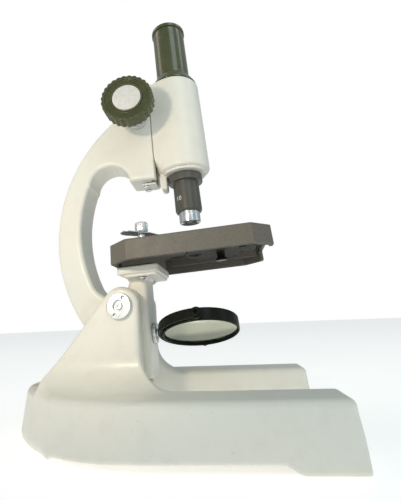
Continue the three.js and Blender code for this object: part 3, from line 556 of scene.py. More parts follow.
def surface_faces(inside, index, cells):
    faces = []
    for axis in range(3):
        b, c = (axis + 1) % 3, (axis + 2) % 3
        lower = np.take(inside, range(cells[axis]), axis)
        upper = np.take(inside, range(1, cells[axis] + 1), axis)
        edge = np.argwhere(lower != upper)
        for way in (b, c):
            edge = edge[(edge[:, way] > 0) & (edge[:, way] < cells[way])]

        def cell(back_b, back_c):
            place = edge.copy()
            place[:, b] -= back_b
            place[:, c] -= back_c
            return index[tuple(place.T)]

        quads = np.stack([cell(1, 1), cell(0, 1), cell(0, 0), cell(1, 0)], 1)
        flipped = upper[tuple(edge.T)]
        quads[flipped] = quads[flipped][:, ::-1]
        faces.append(quads)
    return np.concatenate(faces)


def cast(name, field, low, high, pitch, body, slot, nodes=(), axes=TABLE):
    """A piece whose shape is a distance field, with smooth shading from the field itself."""
    points, faces = isosurface(field, low, high, pitch * COARSE)
    made = piece(name, points, faces, body, slot, nodes, axes, normals=True)
    normals = slope(field, points, 0.12 * pitch)
    normals /= np.maximum(np.linalg.norm(normals, axis=1), 1e-6)[:, None]
    turn = np.array(axes.to_3x3())
    made.data.normals_split_custom_set_from_vertices((normals @ turn.T).tolist())
    return made


# ---------------- the foot
def foot_plan():
    """The horseshoe, with its legs running on past the toes."""
    side, inner = FOOT_HALF_WIDTH, FOOT_HALF_WIDTH - LEG_WIDTH
    end, bend, bay = TOE + 30, PIVOT_X + 18, PIVOT_X + 12
    far = [(end, inner), (end, side), (bend, side)]
    far += bezier((bend, side), (bend - 40, side), (HEEL, 22), (HEEL, 0))
    near = [(x, -y) for x, y in far[-2::-1]]
    near += bezier((bay + 36, -inner), (bay, -inner), (bay, 21 - inner), steps=10)
    return far + near[:len(near) - 10] + [(bay + 36, -inner)] + near[-10:] + [
        (x, -y) for x, y in ([(bay + 36, -inner)] + near[-10:])[::-1]]


def foot_side():
    """Side view of the foot: level top, ears with a straight back and a hollow sweep in front."""
    x, z = EAR_CENTRE
    lean = math.pi - math.atan(1 / EAR_SLOPE)
    rise = z + EAR_RADIUS * math.sin(lean) - FOOT_HEIGHT
    back = x + EAR_RADIUS * math.cos(lean) - rise / EAR_SLOPE
    front = x + EAR_RADIUS + EAR_LEAN
    points = [(back, FOOT_HEIGHT), (HEEL - 30, FOOT_HEIGHT), (HEEL - 30, -30), (TOE + 30, -30),
              (TOE + 30, FOOT_HEIGHT)]
    points += arc(front + EAR_FILLET, FOOT_HEIGHT + EAR_FILLET, EAR_FILLET,
                  -math.pi / 2, -math.pi, 16)
    return points + arc(x, z, EAR_RADIUS, 0, lean)


FOOT_PLAN = foot_plan()
FOOT_SIDE = foot_side()


def foot_underside(x):
    """Height of the lower edge: pads at the heel and the toes, raised between them."""
    heel = np.clip((x - (HEEL + 34)) / 3, 0, 1)
    toe = np.clip((TOE - 24 - x) / 8, 0, 1)
    rise = np.minimum(heel, toe)
    ramp = np.clip((x - HEEL - 34) / 40, 0, 1)
    return (HEEL_RAISE + (FOOT_RAISE - HEEL_RAISE) * ramp) * rise * rise * (3 - 2 * rise)


def foot_field(x, y, z):
    plan = outline(x, y, FOOT_PLAN)
    sides = either_of(z - FOOT_HEIGHT, abs(y) - EAR_OUTER, SIDE_FILLET)
    edge = 2.8 * np.clip((z - FOOT_HEIGHT - 3) / 14, 0.02, 1)
    shape = both_of(outline(x, z, FOOT_SIDE), sides, edge)
    shape = both_of(shape, plan + FOOT_DRAFT * z, 2.8)
    shape = both_of(shape, x - TOE + 0.02 * z, 1 + 2 * np.clip((z - 12) / 8, 0, 1))
    lower_edge = 1.5 + 4 * np.clip((HEEL + 37 - x) / 8, 0, 1)
    shape = both_of(shape, foot_underside(x) - z, lower_edge)
    slot = np.maximum(np.maximum(abs(y) - EAR_INNER, SLOT_FLOOR - z), HEEL + 5 - x)
    shape = without(shape, slot, 1.2)
    bore = np.hypot(x - PIVOT_X, z - PIVOT_Z) - PIVOT_BORE
    shape = without(shape, bore, 0.4)
    hollow = both_of(plan + FOOT_WALL + FOOT_DRAFT * z, x - TOE + FOOT_WALL, 2)
    hollow = both_of(hollow, z - FOOT_HEIGHT + FOOT_WALL, 3)
    return without(shape, hollow, 0.8)


def foot():
    cast("foot_cast", foot_field, (HEEL, -FOOT_HALF_WIDTH, 0), (TOE, FOOT_HALF_WIDTH, 77), 1.0,
         "foot", "paint", ["foot_casting"])


def pivot():
    end = EAR_OUTER - 0.4
    rows = [(0, -end), (BOLT_RADIUS, -end, 0.5), (BOLT_RADIUS, end, 0.5), (0, end)]
    turned("pivot_rod", rows, "foot", "bright_metal", ["pivot_bolt"], PIVOT @ facing(1), 32)
    for place, side in SIDES.items():
        axes = PIVOT @ Matrix.Translation((0, side * (EAR_OUTER + 0.3), 0)) @ facing(side)
        cast(f"pivot_disc_{place}", cap_field, (-7, -7, 0), (7, 7, 2.5), 0.2,
             "foot", "bright_metal", [f"pivot_cap_{place}"], axes)


def cap_field(x, y, z):
    """Chromed disc with a central recess, the bolt's end in it, and two spanner holes."""
    radius = np.hypot(x, y)
    shape = both_of(radius - CAP_RADIUS, slab(z, 0, CAP_HEIGHT), 0.45)
    shape = without(shape, np.maximum(radius - CAP_RECESS, 0.9 - z), 0.25)
    bolt = both_of(radius - 1.9, slab(z, 0.2, 2.0), 0.4)
    shape = either_of(shape, without(bolt, np.maximum(radius - 0.8, 1.3 - z), 0.2), 0.1)
    turn = math.radians(65)
    hole_x, hole_y = CAP_HOLE_REACH * math.cos(turn), CAP_HOLE_REACH * math.sin(turn)
    for way in (-1, 1):
        hole = np.hypot(x - way * hole_x, y - way * hole_y) - CAP_HOLE
        shape = without(shape, np.maximum(hole, 0.6 - z), 0.12)
    return shape


# ---------------- the arm
def arm_profile():
    """Side view of the arm. The head runs on past its front face, which is cut later."""
    outer_u, lower_u = ARM_BACK + ARM_OUTER_RADIUS, ARM_BACK + ARM_LOWER_RADIUS
    inner_u = ARM_INNER_BACK + ARM_INNER_RADIUS
    crown = math.pi - math.acos((outer_u - HEAD_FRONT - 8) / ARM_OUTER_RADIUS)
    tuck = math.pi + math.asin(62 / ARM_LOWER_RADIUS)
    inner_low = math.pi + math.asin(36 / ARM_INNER_RADIUS)
    inner_high = math.pi - math.asin((ARCH_V - ARM_INNER_MID) / ARM_INNER_RADIUS)
    points = [(HEAD_FRONT + 8, HEAD_BOTTOM)]
    points += arc(outer_u, ARM_MID, ARM_OUTER_RADIUS, crown, math.pi, 30)
    points += arc(lower_u, ARM_MID, ARM_LOWER_RADIUS, math.pi, tuck, 16)[1:]
    points += bezier(points[-1], (-10, -22), (POST_BACK, -22), steps=8)
    points += [(POST_BACK, POST_BOTTOM), (POST_FRONT, POST_BOTTOM), (POST_FRONT, BRACKET_TOP),
               (POST_BACK, BRACKET_TOP), (POST_BACK, THROAT)]
    inner = arc(inner_u, ARM_INNER_MID, ARM_INNER_RADIUS, inner_low, inner_high, 24)
    points += bezier((POST_BACK, THROAT), (-1, 4), (-15, 4), (inner[0][0], THROAT), steps=12)
    return points + inner + arc(ARCH_U, ARCH_V, ARCH_RADIUS, math.pi, 0, 16)


ARM_PROFILE = arm_profile()


def slideway_field(u, y, v):
    """Undercut way for the body's tongue, with room for the rack and pinion."""
    wide = np.maximum(slab(u, 19.5, 21.8), abs(y) - 7.3)
    neck = np.maximum(21.5 - u, abs(y) - 5.1)
    teeth = np.maximum(slab(u, 18, 20), abs(y) - 3.6)
    ways = np.maximum(np.minimum(np.minimum(wide, neck), teeth), 60 - v)
    from_pinion = np.hypot(u - PINION_U, v - PINION_V)
    pocket = np.maximum(from_pinion - 6.8, abs(y) - 4)
    return np.minimum(np.minimum(ways, pocket), from_pinion - 3.9)


def bracket_field(u, y, v):
    plate = both_of(slab(u, BRACKET_BACK, BRACKET_FRONT), abs(y) - BRACKET_HALF, 1.6)
    plate = both_of(plate, slab(v, BRACKET_BOTTOM + 1.8, BRACKET_TOP), 0.6)
    pad = both_of(slab(u, BRACKET_BACK + 3.4, BRACKET_FRONT - 1), abs(y) - BRACKET_HALF + 1.6, 2)
    pad = both_of(pad, slab(v, BRACKET_BOTTOM, BRACKET_TOP - 1), 0.8)
    return either_of(plate, pad, 0.8)


def arm_field(u, y, v):
    shape = both_of(outline(u, v, ARM_PROFILE), abs(y) - ARM_HALF, 2.4)
    shape = either_of(shape, bracket_field(u, y, v), 1.6)
    shape = both_of(shape, np.where(v > 60, u - HEAD_FRONT, -20.0), 0.5)
    shape = without(shape, slideway_field(u, y, v), 0.3)
    shape = without(shape, np.hypot(u, v) - PIVOT_BORE, 0.4)
    stud = np.maximum(np.hypot(y, v - MIRROR_LEVEL) - 2.6, 2 - u)
    shape = without(shape, stud, 0.3)
    for side in (-1, 1):
        hole = np.hypot(u - STAGE_SCREW[0], y - side * STAGE_SCREW[1]) - 2.1
        shape = without(shape, np.maximum(hole, slab(v, 0, 40)), 0.3)
    return shape


def arm():
    cast("arm_cast", arm_field, (ARM_BACK, -BRACKET_HALF, POST_BOTTOM),
         (HEAD_FRONT, BRACKET_HALF, 146), 1.0, "arm", "paint", ["arm_casting"], ARM)
    low, bore = POST_FRONT + 0.3, STUD_RADIUS + 0.3
    rows = [(bore, low), (BOSS_RADIUS, low, 0.4), (BOSS_RADIUS, BOSS_FACE, 0.5),
            (bore, BOSS_FACE, 0.2), (bore, low)]
    turned("mirror_boss_ring", rows, "arm", "bright_metal", ["mirror_boss"], STUD @ FORWARD)
    for place, side in SIDES.items():
        bushing(place, side)
        stage_screw(place, side)
        gib_screw(place, side)
    gib_plate()


def bushing(place, side):
    rows = [(SHAFT_BORE, -3), (BUSHING_RADIUS, -3), (BUSHING_RADIUS, 0.3),
            (BUSHING_FLANGE, 0.3, 0.3), (BUSHING_FLANGE, 3, 0.6), (BUSHING_COLLAR, 3, 0.3),
            (BUSHING_COLLAR, BUSHING_END, 0.3), (SHAFT_BORE, BUSHING_END), (SHAFT_BORE, -3)]
    axes = ARM @ Matrix.Translation((PINION_U, side * ARM_HALF, PINION_V)) @ facing(side)
    turned(f"shaft_bushing_{place}", rows, "arm", "bright_metal", [f"bushing_{place}"], axes, 64)


def screw_field(radius, head, slot_width):
    """A pan-headed screw that points up, with a cross slot in its head below."""
    def field(x, y, z):
        around = np.hypot(x, y)
        dome = np.sqrt(around ** 2 + (z - 2.6) ** 2) - 4.4
        top = both_of(both_of(around - radius, slab(z, -head, 0), 0.4), dome, 0.4)
        cross = np.minimum(np.maximum(abs(x) - slot_width, abs(y) - 1.7),
                           np.maximum(abs(y) - slot_width, abs(x) - 1.7))
        top = without(top, np.maximum(cross, z + head - 0.8), 0.1)
        return either_of(top, both_of(around - 1.6, slab(z, -0.5, 13), 0.2), 0.2)
    return field


def stage_screw(place, side):
    low = BRACKET_BOTTOM - 0.3
    axes = ARM @ Matrix.Translation((STAGE_SCREW[0], side * STAGE_SCREW[1], low))
    cast(f"stage_fixing_{place}", screw_field(3.1, 1.9, 0.35), (-3.2, -3.2, -2), (3.2, 3.2, 13),
         0.22, "arm", "bright_metal", [f"stage_screw_{place}"], axes)


def gib_screw(place, side):
    def field(x, y, z):
        around = np.hypot(x, y)
        head = both_of(around - 2, slab(z, -0.6, 0), 0.2)
        head = without(head, np.maximum(abs(x - y) - 0.45, z + 0.3), 0.05)
        return either_of(head, np.maximum(around - 0.9, slab(z, -0.5, 7)), 0.1)
    axes = ARM @ Matrix.Translation((GIB_SCREW[0], side * GIB_SCREW[1], HEAD_BOTTOM - 1.8))
    cast(f"gib_fixing_{place}", field, (-2, -2, -0.6), (2, 2, 7), 0.2, "arm", "bright_metal",
         [f"gib_screw_{place}"], axes)


def gib_plate():
    low, high = HEAD_BOTTOM - 1.5, HEAD_BOTTOM - 0.3

    def field(u, y, v):
        shape = both_of(slab(u, GIB_BACK, GIB_FRONT), abs(y) - GIB_HALF, 0.8)
        shape = both_of(shape, slab(v, low, high), 0.2)
        for side in (-1, 1):
            hole = np.hypot(u - GIB_SCREW[0], y - side * GIB_SCREW[1]) - 1.3
            shape = without(shape, hole, 0.15)
        return shape
    cast("gib_strip", field, (GIB_BACK, -GIB_HALF, low), (GIB_FRONT, GIB_HALF, high), 0.3,
         "arm", "paint", ["gib_plate"], ARM)


# ---------------- the focusing body
def body_field(u, y, v):
    around = np.hypot(u - AXIS, y)
    column = both_of(around - BODY_RADIUS, BODY_BOTTOM + 0.8 - v, 2.2)
    block = both_of(abs(y) - ARM_HALF, slab(u, BODY_BACK, AXIS), 0.5)
    block = both_of(block, BODY_BLOCK_BOTTOM - v, 4)
    shape = either_of(column, block, 6)
    shape = both_of(shape, v - BODY_TOP, 1.6)
    lip = both_of(around - 15.2, slab(v, BODY_BOTTOM - 1, BODY_BOTTOM + 9), 0.35)
    shape = either_of(shape, lip, 0.3)
    lug = both_of(slab(u, LUG_BACK, LUG_FRONT), abs(y) - LUG_HALF, 1.0)
    lug = both_of(lug, slab(v, LUG_BOTTOM, 100), 2)
    shape = either_of(shape, lug, 1.5)
    wings = np.maximum(slab(u, TONGUE_BACK, TONGUE_FRONT), abs(y) - TONGUE_HALF)
    neck = np.maximum(slab(u, 21, BODY_BACK + 1), abs(y) - NECK_HALF)
    tongue = np.maximum(np.minimum(wings, neck), slab(v, BODY_BLOCK_BOTTOM, TONGUE_TOP))
    shape = np.minimum(shape, tongue)
    shape = np.maximum(shape, -np.maximum(slab(u, 19, 22.7), abs(y) - RACK_CHANNEL))
    shape = without(shape, np.maximum(around - 9.9, v - BODY_BOTTOM - 30), 0.3)
    return without(shape, np.maximum(around - TUBE_RADIUS - 0.3, BODY_BOTTOM + 29 - v), 0.3)


def focusing_body():
    cast("body_cast", body_field, (TONGUE_BACK, -BODY_RADIUS, LUG_BOTTOM),
         (AXIS + BODY_RADIUS, BODY_RADIUS, BODY_TOP), 0.8,
         "focus_body", "paint", ["body_tube"], ARM)
    low, bore = BODY_TOP + 0.3, TUBE_RADIUS + 0.3
    top = low + COLLAR_HEIGHT
    rows = [(bore, low), (COLLAR_RADIUS, low, 0.3), (COLLAR_RADIUS, low + 1.2, 0.4),
            (13.4, top - 0.2, 0.4), (13.2, top, 0.1), (bore, top, 0.1), (bore, low)]
    turned("tube_collar_ring", rows, "focus_body", "tube_black", ["tube_collar"], OPTICS)
    rows = [(TUBE_BORE, TUBE_BOTTOM), (TUBE_RADIUS, TUBE_BOTTOM, 0.3)]
    for level in TUBE_LINES:
        rows += [(TUBE_RADIUS - depth, level + step) for step, depth in
                 ((-0.8, 0), (-0.4, 0), (-0.1, 0.1), (0.1, 0.1), (0.4, 0), (0.8, 0))]
    rows += [(TUBE_RADIUS, TUBE_TOP, 0.25), (TUBE_BORE, TUBE_TOP, 0.2), (TUBE_BORE, TUBE_BOTTOM)]
    turned("draw_tube", rows, "focus_body", "tube_black", ["eyepiece_tube"], OPTICS, 128)
    eyepiece()
    objective()


def eyepiece():
    sleeve, low, top = TUBE_BORE - 0.3, TUBE_TOP + 0.3, EYEPIECE_TOP
    rows = [(EYEPIECE_BORE, EYEPIECE_BOTTOM), (sleeve, EYEPIECE_BOTTOM, 0.3), (sleeve, low),
            (EYEPIECE_RADIUS, low, 0.3), (EYEPIECE_RADIUS, top, 0.7), (11.2, top, 0.5),
            (EYE_HOLE + 1, top - 3, 0.4), (EYE_HOLE, top - 3, 0.2), (EYE_HOLE, top - 5, 0.2),
            (EYEPIECE_BORE, top - 5), (EYEPIECE_BORE, EYEPIECE_BOTTOM)]
    turned("eyepiece_shell", rows, "eyepiece", "tube_black", ["eyepiece_cap"], OPTICS, 128)
    lens("eye_lens", "eye_glass", LENS_RADIUS, 201.5, 203, 1.8, "eyepiece")
    lens("field_lens", "field_glass", LENS_RADIUS, 178, 179.5, 2.0, "eyepiece")


def lens(node, name, radius, low, high, bulge, body):
    """A plano-convex lens: flat below, part of a sphere above."""
    rows = [(0, low), (radius, low, 0.15), (radius, high)]
    rows += [(radius * (1 - t), high + bulge * (1 - (1 - t) ** 2))
             for t in np.linspace(0.1, 1, 10)]
    turned(name, rows, body, "lens_glass", [node], OPTICS, 64, crease=50)


def objective():
    top = BODY_BOTTOM - 1.3
    rows = [(7.4, THREAD_TOP), (THREAD_RADIUS, THREAD_TOP, 0.3), (THREAD_RADIUS, top),
            (BARREL_HEAD, top, 0.3), (BARREL_HEAD, top - 5.4, 0.7), (8.8, top - 5.4, 0.3),
            (8.95, BARREL_BOTTOM + 1.5, 0.2), (8.3, BARREL_BOTTOM, 0.2),
            (BARREL_BORE, BARREL_BOTTOM, 0.1), (BARREL_BORE, 70), (7.4, THREAD_TOP)]
    shell = turned("objective_shell", rows, "focus_body", "tube_black", ["objective_barrel"],
                   OPTICS, 96)
    shell.data.materials[0] = BARREL
    rows = [(NOSE_BORE, NOSE_BOTTOM + 1), (6.2, NOSE_BOTTOM, 0.4),
            (NOSE_RADIUS, NOSE_BOTTOM + 0.3, 0.2), (NOSE_RADIUS, NOSE_TOP, 0.2),
            (NOSE_BORE, NOSE_TOP), (NOSE_BORE, NOSE_BOTTOM + 1)]
    turned("objective_nose", rows, "focus_body", "bright_metal", ["objective_sleeve"], OPTICS, 96)
    lens("front_lens", "front_glass", FRONT_LENS_RADIUS, 50.2, 51, 1.2, "focus_body")
    figures("10", "objective_figure", 8.93, 63.2, 4.3, math.radians(-126))


def figures(text, name, radius, level, height, turn):
    """Engraved and filled figures wrapped round the barrel."""
    curve = bpy.data.curves.new(name + "_curve", "FONT")
    curve.body = text
    curve.size = height
    curve.extrude = 0.04
    curve.align_x = "CENTER"
    source = added(name + "_curve", curve)
    bpy.context.view_layer.update()
    mesh = source.evaluated_get(bpy.context.evaluated_depsgraph_get()).to_mesh()
    points = []
    for vertex in mesh.vertices:
        angle = turn + vertex.co.x / radius
        reach = radius + vertex.co.z
        points.append((reach * math.cos(angle), reach * math.sin(angle), level + vertex.co.y))
    faces = [tuple(p.vertices) for p in mesh.polygons]
    bpy.data.objects.remove(source)
    bpy.data.curves.remove(curve)
    made = piece(name, points, faces, "focus_body", "white_plastic", axes=OPTICS)
    made.data.materials[0] = MARKING


# ---------------- the focus drive
def knob_field(x, y, z):
    """Fluted disc with a sunk ring round its middle, which holds a white insert."""
    radius = np.hypot(x, y)
    step = 2 * math.pi / FLUTES
    turn = np.mod(np.arctan2(y, x), step) - step / 2
    shape = both_of(radius - KNOB_RADIUS, slab(z, 0, KNOB_WIDTH), 0.7)
    groove = np.hypot(radius * np.cos(turn) - KNOB_RADIUS - 0.35, radius * np.sin(turn)) - 1.15
    shape = without(shape, groove, 0.3)
    dish = both_of(slab(radius, DISH_INNER, DISH_OUTER), KNOB_WIDTH - 1.2 - z, 0.4)
    shape = without(shape, dish, 0.5)
    seat = np.maximum(radius - INSERT_RADIUS - 0.3, KNOB_WIDTH - 1.4 - z)
    shape = without(shape, seat, 0.2)
    bore = np.maximum(radius - SHAFT_BORE, z - 5.2)
    return without(shape, bore, 0.2)


def focus_drive():
    disc = [(0, 0), (INSERT_RADIUS, 0, 0.1), (INSERT_RADIUS, 1.1, 0.25), (4, 1.16), (0, 1.17)]
    for place, side in SIDES.items():
        back = (PINION_U, side * (KNOB_FACE - KNOB_WIDTH), PINION_V)
        axes = ARM @ Matrix.Translation(back) @ facing(side)
        cast(f"knob_fluted_{place}", knob_field, (-17, -17, 0), (17, 17, KNOB_WIDTH), 0.42,
             "focus_shaft", "knob_plastic", [f"knob_{place}"], axes)
        axes = axes @ Matrix.Translation((0, 0, KNOB_WIDTH - 1.2))
        turned(f"knob_disc_{place}", disc, "focus_shaft", "white_plastic",
               [f"knob_insert_{place}"], axes)


# ---------------- the stage
def stage_plan(inset):
    low, high = AXIS - STAGE_LENGTH / 2 + inset, AXIS + STAGE_LENGTH / 2 - inset
    half = STAGE_WIDTH / 2 - inset
    corner = STAGE_CORNER - inset * (2 - math.sqrt(2))
    return [(low + corner, -half), (high - corner, -half), (high, corner - half),
            (high, half - corner), (high - corner, half), (low + corner, half),
            (low, half - corner), (low, corner - half)]


def stage_field(u, y, v):
    plan = outline(u, y, stage_plan(0))
    shape = both_of(plan, slab(v, STAGE_BOTTOM, STAGE_TOP), 0.7)
    hollow = both_of(plan + STAGE_WALL, v - STAGE_TOP + STAGE_WALL, 1)
    shape = without(shape, hollow, 0.4)
    pad = both_of(slab(u, PAD_BACK, PAD_FRONT), abs(y) - BRACKET_HALF + 1.5, 1)
    shape = either_of(shape, both_of(pad, slab(v, STAGE_BOTTOM, STAGE_TOP - 1), 0.4), 0.8)
    from_axis = np.hypot(u - AXIS, y)
    from_hub = np.hypot(u - DISC_CENTRE, y)
    ribs = np.maximum(abs(abs(y) - RIB_FROM_MIDDLE) - 0.8, slab(u, 23, 84))
    for rise, low in ((from_axis - 9, STAGE_TOP - 4), (from_hub - 5, DISC_LEVEL + 1.6), (ribs, 26)):
        shape = either_of(shape, both_of(rise, slab(v, low, STAGE_TOP - 1), 0.3), 0.5)
    notch = both_of(both_of(slab(u, 80, 95), abs(y) - 25, 2), v - 28.4, 1.5)
    shape = without(shape, notch, 0.5)
    shape = without(shape, from_axis - LIGHT_HOLE, 0.6)
    shape = without(shape, np.maximum(from_hub - 1.6, v - STAGE_TOP + 1), 0.2)
    for side in (-1, 1):
        screw = np.hypot(u - STAGE_SCREW[0], y - side * STAGE_SCREW[1]) - 2
        shape = without(shape, np.maximum(screw, v - STAGE_TOP + 2), 0.2)
        post = np.hypot(u - CLIP_POST[0], y - side * CLIP_POST[1]) - 1.9
        shape = without(shape, post, 0.2)
    return shape


def disc_field(u, y, v):
    x = u - DISC_CENTRE
    radius = np.hypot(x, y)
    knurl = 0.18 * np.cos(np.arctan2(y, x) * 90)
    faces = slab(v, DISC_LEVEL, DISC_LEVEL + DISC_THICKNESS)
    shape = both_of(radius - DISC_RADIUS + 0.18 - knurl, faces, 0.2)
    reach = DISC_CENTRE - AXIS
    for number, hole in enumerate(DISC_HOLES):
        angle = math.pi + number * 2 * math.pi / len(DISC_HOLES)
        from_hole = np.hypot(x - reach * math.cos(angle), y - reach * math.sin(angle))
        shape = without(shape, from_hole - hole, 0.15)
    return without(shape, radius - 2.2, 0.15)


def stage():
    reach, half, rim = STAGE_LENGTH / 2, STAGE_WIDTH / 2, DISC_RADIUS + 0.4
    cast("stage_moulding", stage_field, (AXIS - reach, -half, STAGE_BOTTOM),
         (AXIS + reach, half, STAGE_TOP), 0.75, "arm", "stage_plastic", ["stage"], ARM)
    wheel = cast("aperture_wheel", disc_field, (DISC_CENTRE - rim, -rim, DISC_LEVEL),
                 (DISC_CENTRE + rim, rim, DISC_LEVEL + DISC_THICKNESS), 0.4,
                 "aperture_disc", "mirror_black", ["aperture_disc"], ARM)
    wheel.data.materials[0] = WHEEL
    low = DISC_LEVEL - 0.3
    rows = [(0, 21.9), (3.6, 21.9, 0.4), (3.6, 23.2, 0.3), (2.6, 23.8, 0.2), (2.6, low), (1.8, low),
            (1.8, low + 1.6), (1.3, low + 1.6), (1.3, 32), (0, 32)]
    turned("wheel_pin", rows, "arm", "mirror_black", ["disc_pin"],
           ARM @ Matrix.Translation((DISC_CENTRE, 0, 0)), 48)
    for place, side in SIDES.items():
        clip(place, side)


def clip(place, side):
    axes = ARM @ Matrix.Translation((CLIP_POST[0], side * CLIP_POST[1], 0))
    rows = [(0, 30), (1.5, 30, 0.1), (1.5, 34.2), (2.4, 34.2, 0.2), (2.4, 37.9, 0.2), (1.5, 37.9),
            (1.5, 39.4), (3.1, 39.4, 0.2), (3.75, 39.9, 0.2), (3.75, 44.6, 0.3), (3.3, 45.2, 0.2),
            (2.2, 45.2, 0.2), (1.9, 44.9, 0.1), (0, 44.9)]
    turned(f"clip_head_{place}", rows, "arm", "bright_metal", [f"clip_knob_{place}"], axes, 216,
           knurl=(39.9, 44.6, 36, 0.10))
    leaf(place, axes @ Matrix.Rotation(-side * CLIP_ANGLE, 4, "Z"))


def leaf(place, axes):
    """A sprung strip: raised tail, flat round its post, and a foot that presses on the slide."""
    def spine(s):
        return np.interp(s, [-13, -9, -4, 4, 28, 34], [38.7, 38.3, 38.2, 38.2, 34.5, 35.8])

    def half_width(s):
        tail = np.sqrt(np.clip(1 - ((s + 9.5) / 3.5) ** 2, 0, 1))
        tip = np.sqrt(np.clip(1 - ((s - 29) / 5) ** 2, 0, 1))
        body = LEAF_HALF - 1.2 * np.clip((s + 10) / 38, 0, 1)
        return np.where(s < -9.5, body * tail, np.where(s > 29, body * tip, body))

    def field(s, y, v):
        middle = np.mean([spine(s + d) for d in (-1.6, -0.8, 0, 0.8, 1.6)], axis=0)
        half = LEAF_THICKNESS / 2
        sheet = (abs(v - middle - half) - half) * 0.95
        plan = np.maximum(abs(y) - half_width(s), slab(s, LEAF_BACK, LEAF_FRONT))
        shape = both_of(sheet, plan * 0.8, 0.12)
        return without(shape, np.hypot(s, y) - 1.9, 0.1)

    cast(f"clip_strip_{place}", field, (LEAF_BACK, -4.6, 34), (LEAF_FRONT, 4.6, 39.6), 0.3,
         f"clip_{place}", "bright_metal", [f"clip_leaf_{place}"], axes)


# ---------------- the mirror
def fork_field(x, y, z):
    radius = np.hypot(x, y)
    inner, half = CELL_RADIUS + 0.7, FORK_HEIGHT / 2
    bow = both_of(both_of(slab(radius, inner, FORK_RADIUS), x, 0.1), abs(z) - half, 0.5)
    arms = slab(abs(y), inner, FORK_RADIUS)
    ends = both_of(arms, np.hypot(x, z) - half - 0.5, 0.35)
    legs = np.maximum(both_of(arms, slab(x, -4, 0.5), 0.1), abs(z) - half + 0.2)
    shape = np.minimum(np.minimum(bow, ends), np.maximum(legs, radius - FORK_RADIUS))
    return without(shape, np.hypot(x, z) - FORK_BORE, 0.2)


def mirror():
    end = MIRROR_CENTRE - FORK_RADIUS - 0.3
    rows = [(0, 3), (STUD_RADIUS, 3, 0.2), (STUD_RADIUS, end, 0.1), (0, end)]
    turned("mirror_stud_rod", rows, "mirror_fork", "bright_metal", ["mirror_stud"],
           MIRROR_AXIS @ FORWARD, 40)
    reach = FORK_HEIGHT / 2 + 0.5
    cast("mirror_bow", fork_field, (-FORK_RADIUS, -FORK_RADIUS, -reach),
         (reach, FORK_RADIUS, reach), 0.35, "mirror_fork", "mirror_black", ["mirror_fork"], MIRROR)
    rows = [(0, 0), (1.5, 0, 0.1), (1.5, 4.2), (2.4, 4.2, 0.2), (2.4, 5, 0.3), (1.2, 5, 0.1),
            (1.1, 3, 0.1), (0, 3)]
    for place, side in SIDES.items():
        axes = MIRROR @ Matrix.Translation((0, side * (CELL_RADIUS - 1.3), 0)) @ facing(side)
        turned(f"mirror_pivot_{place}", rows, "mirror_fork", "mirror_black",
               [f"mirror_screw_{place}"], axes, 40)
    mirror_cell()


def mirror_cell():
    half, glass = CELL_HEIGHT / 2, CELL_RADIUS - 1.5

    def field(x, y, z):
        radius = np.hypot(x, y)
        shape = both_of(radius - CELL_RADIUS, abs(z) - half, 0.7)
        shape = without(shape, np.maximum(radius - CELL_RADIUS + 1.1, z + 0.6), 0.2)
        shape = without(shape, np.maximum(radius - CELL_RADIUS + 4, half - 0.6 - z), 0.5)
        pivot = np.maximum(np.hypot(x, z) - FORK_BORE, CELL_RADIUS - 1.6 - abs(y))
        return without(shape, pivot, 0.15)

    cast("mirror_dish", field, (-CELL_RADIUS, -CELL_RADIUS, -half),
         (CELL_RADIUS, CELL_RADIUS, half), 0.4, "mirror", "mirror_black", ["mirror_cell"], MIRROR)
    turned("mirror_plate", [(0, -2.4), (glass, -2.4, 0.2), (glass, -0.9, 0.1), (0, -0.9)],
           "mirror", "mirror_glass", ["mirror_glass"], MIRROR, 128)


# ---------------- what stays of the CAD
def dress_cad():
    slots = {row["node"]: row["material_slot"] for row in frame["record"]["subparts"]}
    for name, node in frame["nodes"].items():
        node.data.materials.clear()
        node.data.materials.append(FINISHES[slots[name]])


# ---------------- studio
def camera():
    """The photograph's viewpoint: low in front of the near side, looking up."""
    yaw, pitch, roll = (math.radians(a) for a in (-6.07, 20.40, -2.31))
    level = math.cos(pitch)
    forward = Vector((math.sin(yaw) * level, math.cos(yaw) * level, math.sin(pitch)))
    right = Vector((math.cos(yaw), -math.sin(yaw), 0))
    up = right.cross(forward)
    across = math.cos(roll) * right + math.sin(roll) * up
    upright = math.cos(roll) * up - math.sin(roll) * right
    made = added("camera", bpy.data.cameras.new("camera"))
    made.matrix_world = Matrix((across, upright, -forward)).transposed().to_4x4()
    made.location = Vector((34.61, -222.86, 56.44)) * MM
    made.data.sensor_width = 36
    made.data.lens = 25.04
    made.data.shift_x, made.data.shift_y = 0.0381, -0.1181
    made.data.clip_start = 0.01
    bpy.context.scene.camera = made


def lamp(name, kind, place, target, color, energy):
    made = added(name, bpy.data.lights.new(name, kind))
    made.data.energy = energy
    made.data.color = color
    made.location = place
    made.rotation_euler = (Vector(target) - Vector(place)).to_track_quat("-Z", "Y").to_euler()
    return made


def flash():
    """A small warm lamp beside the camera, whose cone leaves the toes to the cooler daylight."""
    made = lamp("flash", "SPOT", (-0.074, -0.230, 0.131), (-0.030, 0, 0.138),
                (1.0, 0.87, 0.68), 0.78)
    made.data.shadow_soft_size = 12 * MM
    made.data.spot_size = math.radians(78)
    made.data.spot_blend = 0.6


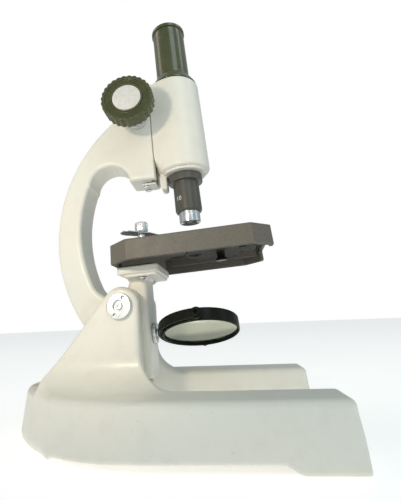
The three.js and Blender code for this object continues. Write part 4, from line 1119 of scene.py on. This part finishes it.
def panel(name, place, size, color, energy):
    """A tall soft panel, which leaves an upright highlight on round glossy pieces."""
    made = lamp(name, "AREA", place, (0, 0, 0.12), color, energy)
    made.data.shape = "RECTANGLE"
    made.data.size, made.data.size_y = size


def daylight():
    """Even, slightly cool light from all round, in front of a white background."""
    world = bpy.data.worlds.new("soft_studio")
    world.use_nodes = True
    nodes, links = world.node_tree.nodes, world.node_tree.links
    light = nodes["Background"]
    light.inputs["Color"].default_value = (0.84, 0.94, 0.97, 1.0)
    light.inputs["Strength"].default_value = 0.38
    backdrop = nodes.new("ShaderNodeBackground")
    mix = nodes.new("ShaderNodeMixShader")
    links.new(nodes.new("ShaderNodeLightPath").outputs["Is Camera Ray"], mix.inputs["Fac"])
    links.new(light.outputs["Background"], mix.inputs[1])
    backdrop.inputs["Color"].default_value = (1, 1, 1, 1)
    links.new(backdrop.outputs["Background"], mix.inputs[2])
    links.new(mix.outputs["Shader"], nodes["World Output"].inputs["Surface"])
    bpy.context.scene.world = world


def studio():
    floor = bpy.data.meshes.new("floor")
    turns = [2 * math.pi * i / 48 for i in range(48)]
    floor.from_pydata([(4 * math.cos(t), 4 * math.sin(t), 0) for t in turns], [], [range(48)])
    ground = added("floor", floor)
    pale = Finish("pale_floor", (0.88, 0.88, 0.87), 0.7,
                  Emission_Color=(1, 0.99, 0.98, 1), Emission_Strength=0.52)
    pale.mottle(120, 3, 0.3, 0.7, (0.85, 0.85, 0.84))
    floor.materials.append(pale.material)
    flash()
    panel("window_right", (0.85, -0.10, 0.8), (0.2, 1.2), (0.80, 0.92, 1.0), 1.1)
    panel("window_left", (-0.9, -0.05, 0.8), (0.3, 1.2), (1.0, 0.82, 0.62), 1.5)
    panel("softbox", (0.40, -0.78, 0.85), (0.42, 1.2), (0.80, 0.98, 1.0), 2.4)
    daylight()
    bpy.context.scene.view_settings.view_transform = "Standard"


dress_cad()
foot()
pivot()
arm()
focusing_body()
focus_drive()
stage()
mirror()
camera()
studio()

bpy.context.view_layer.update()
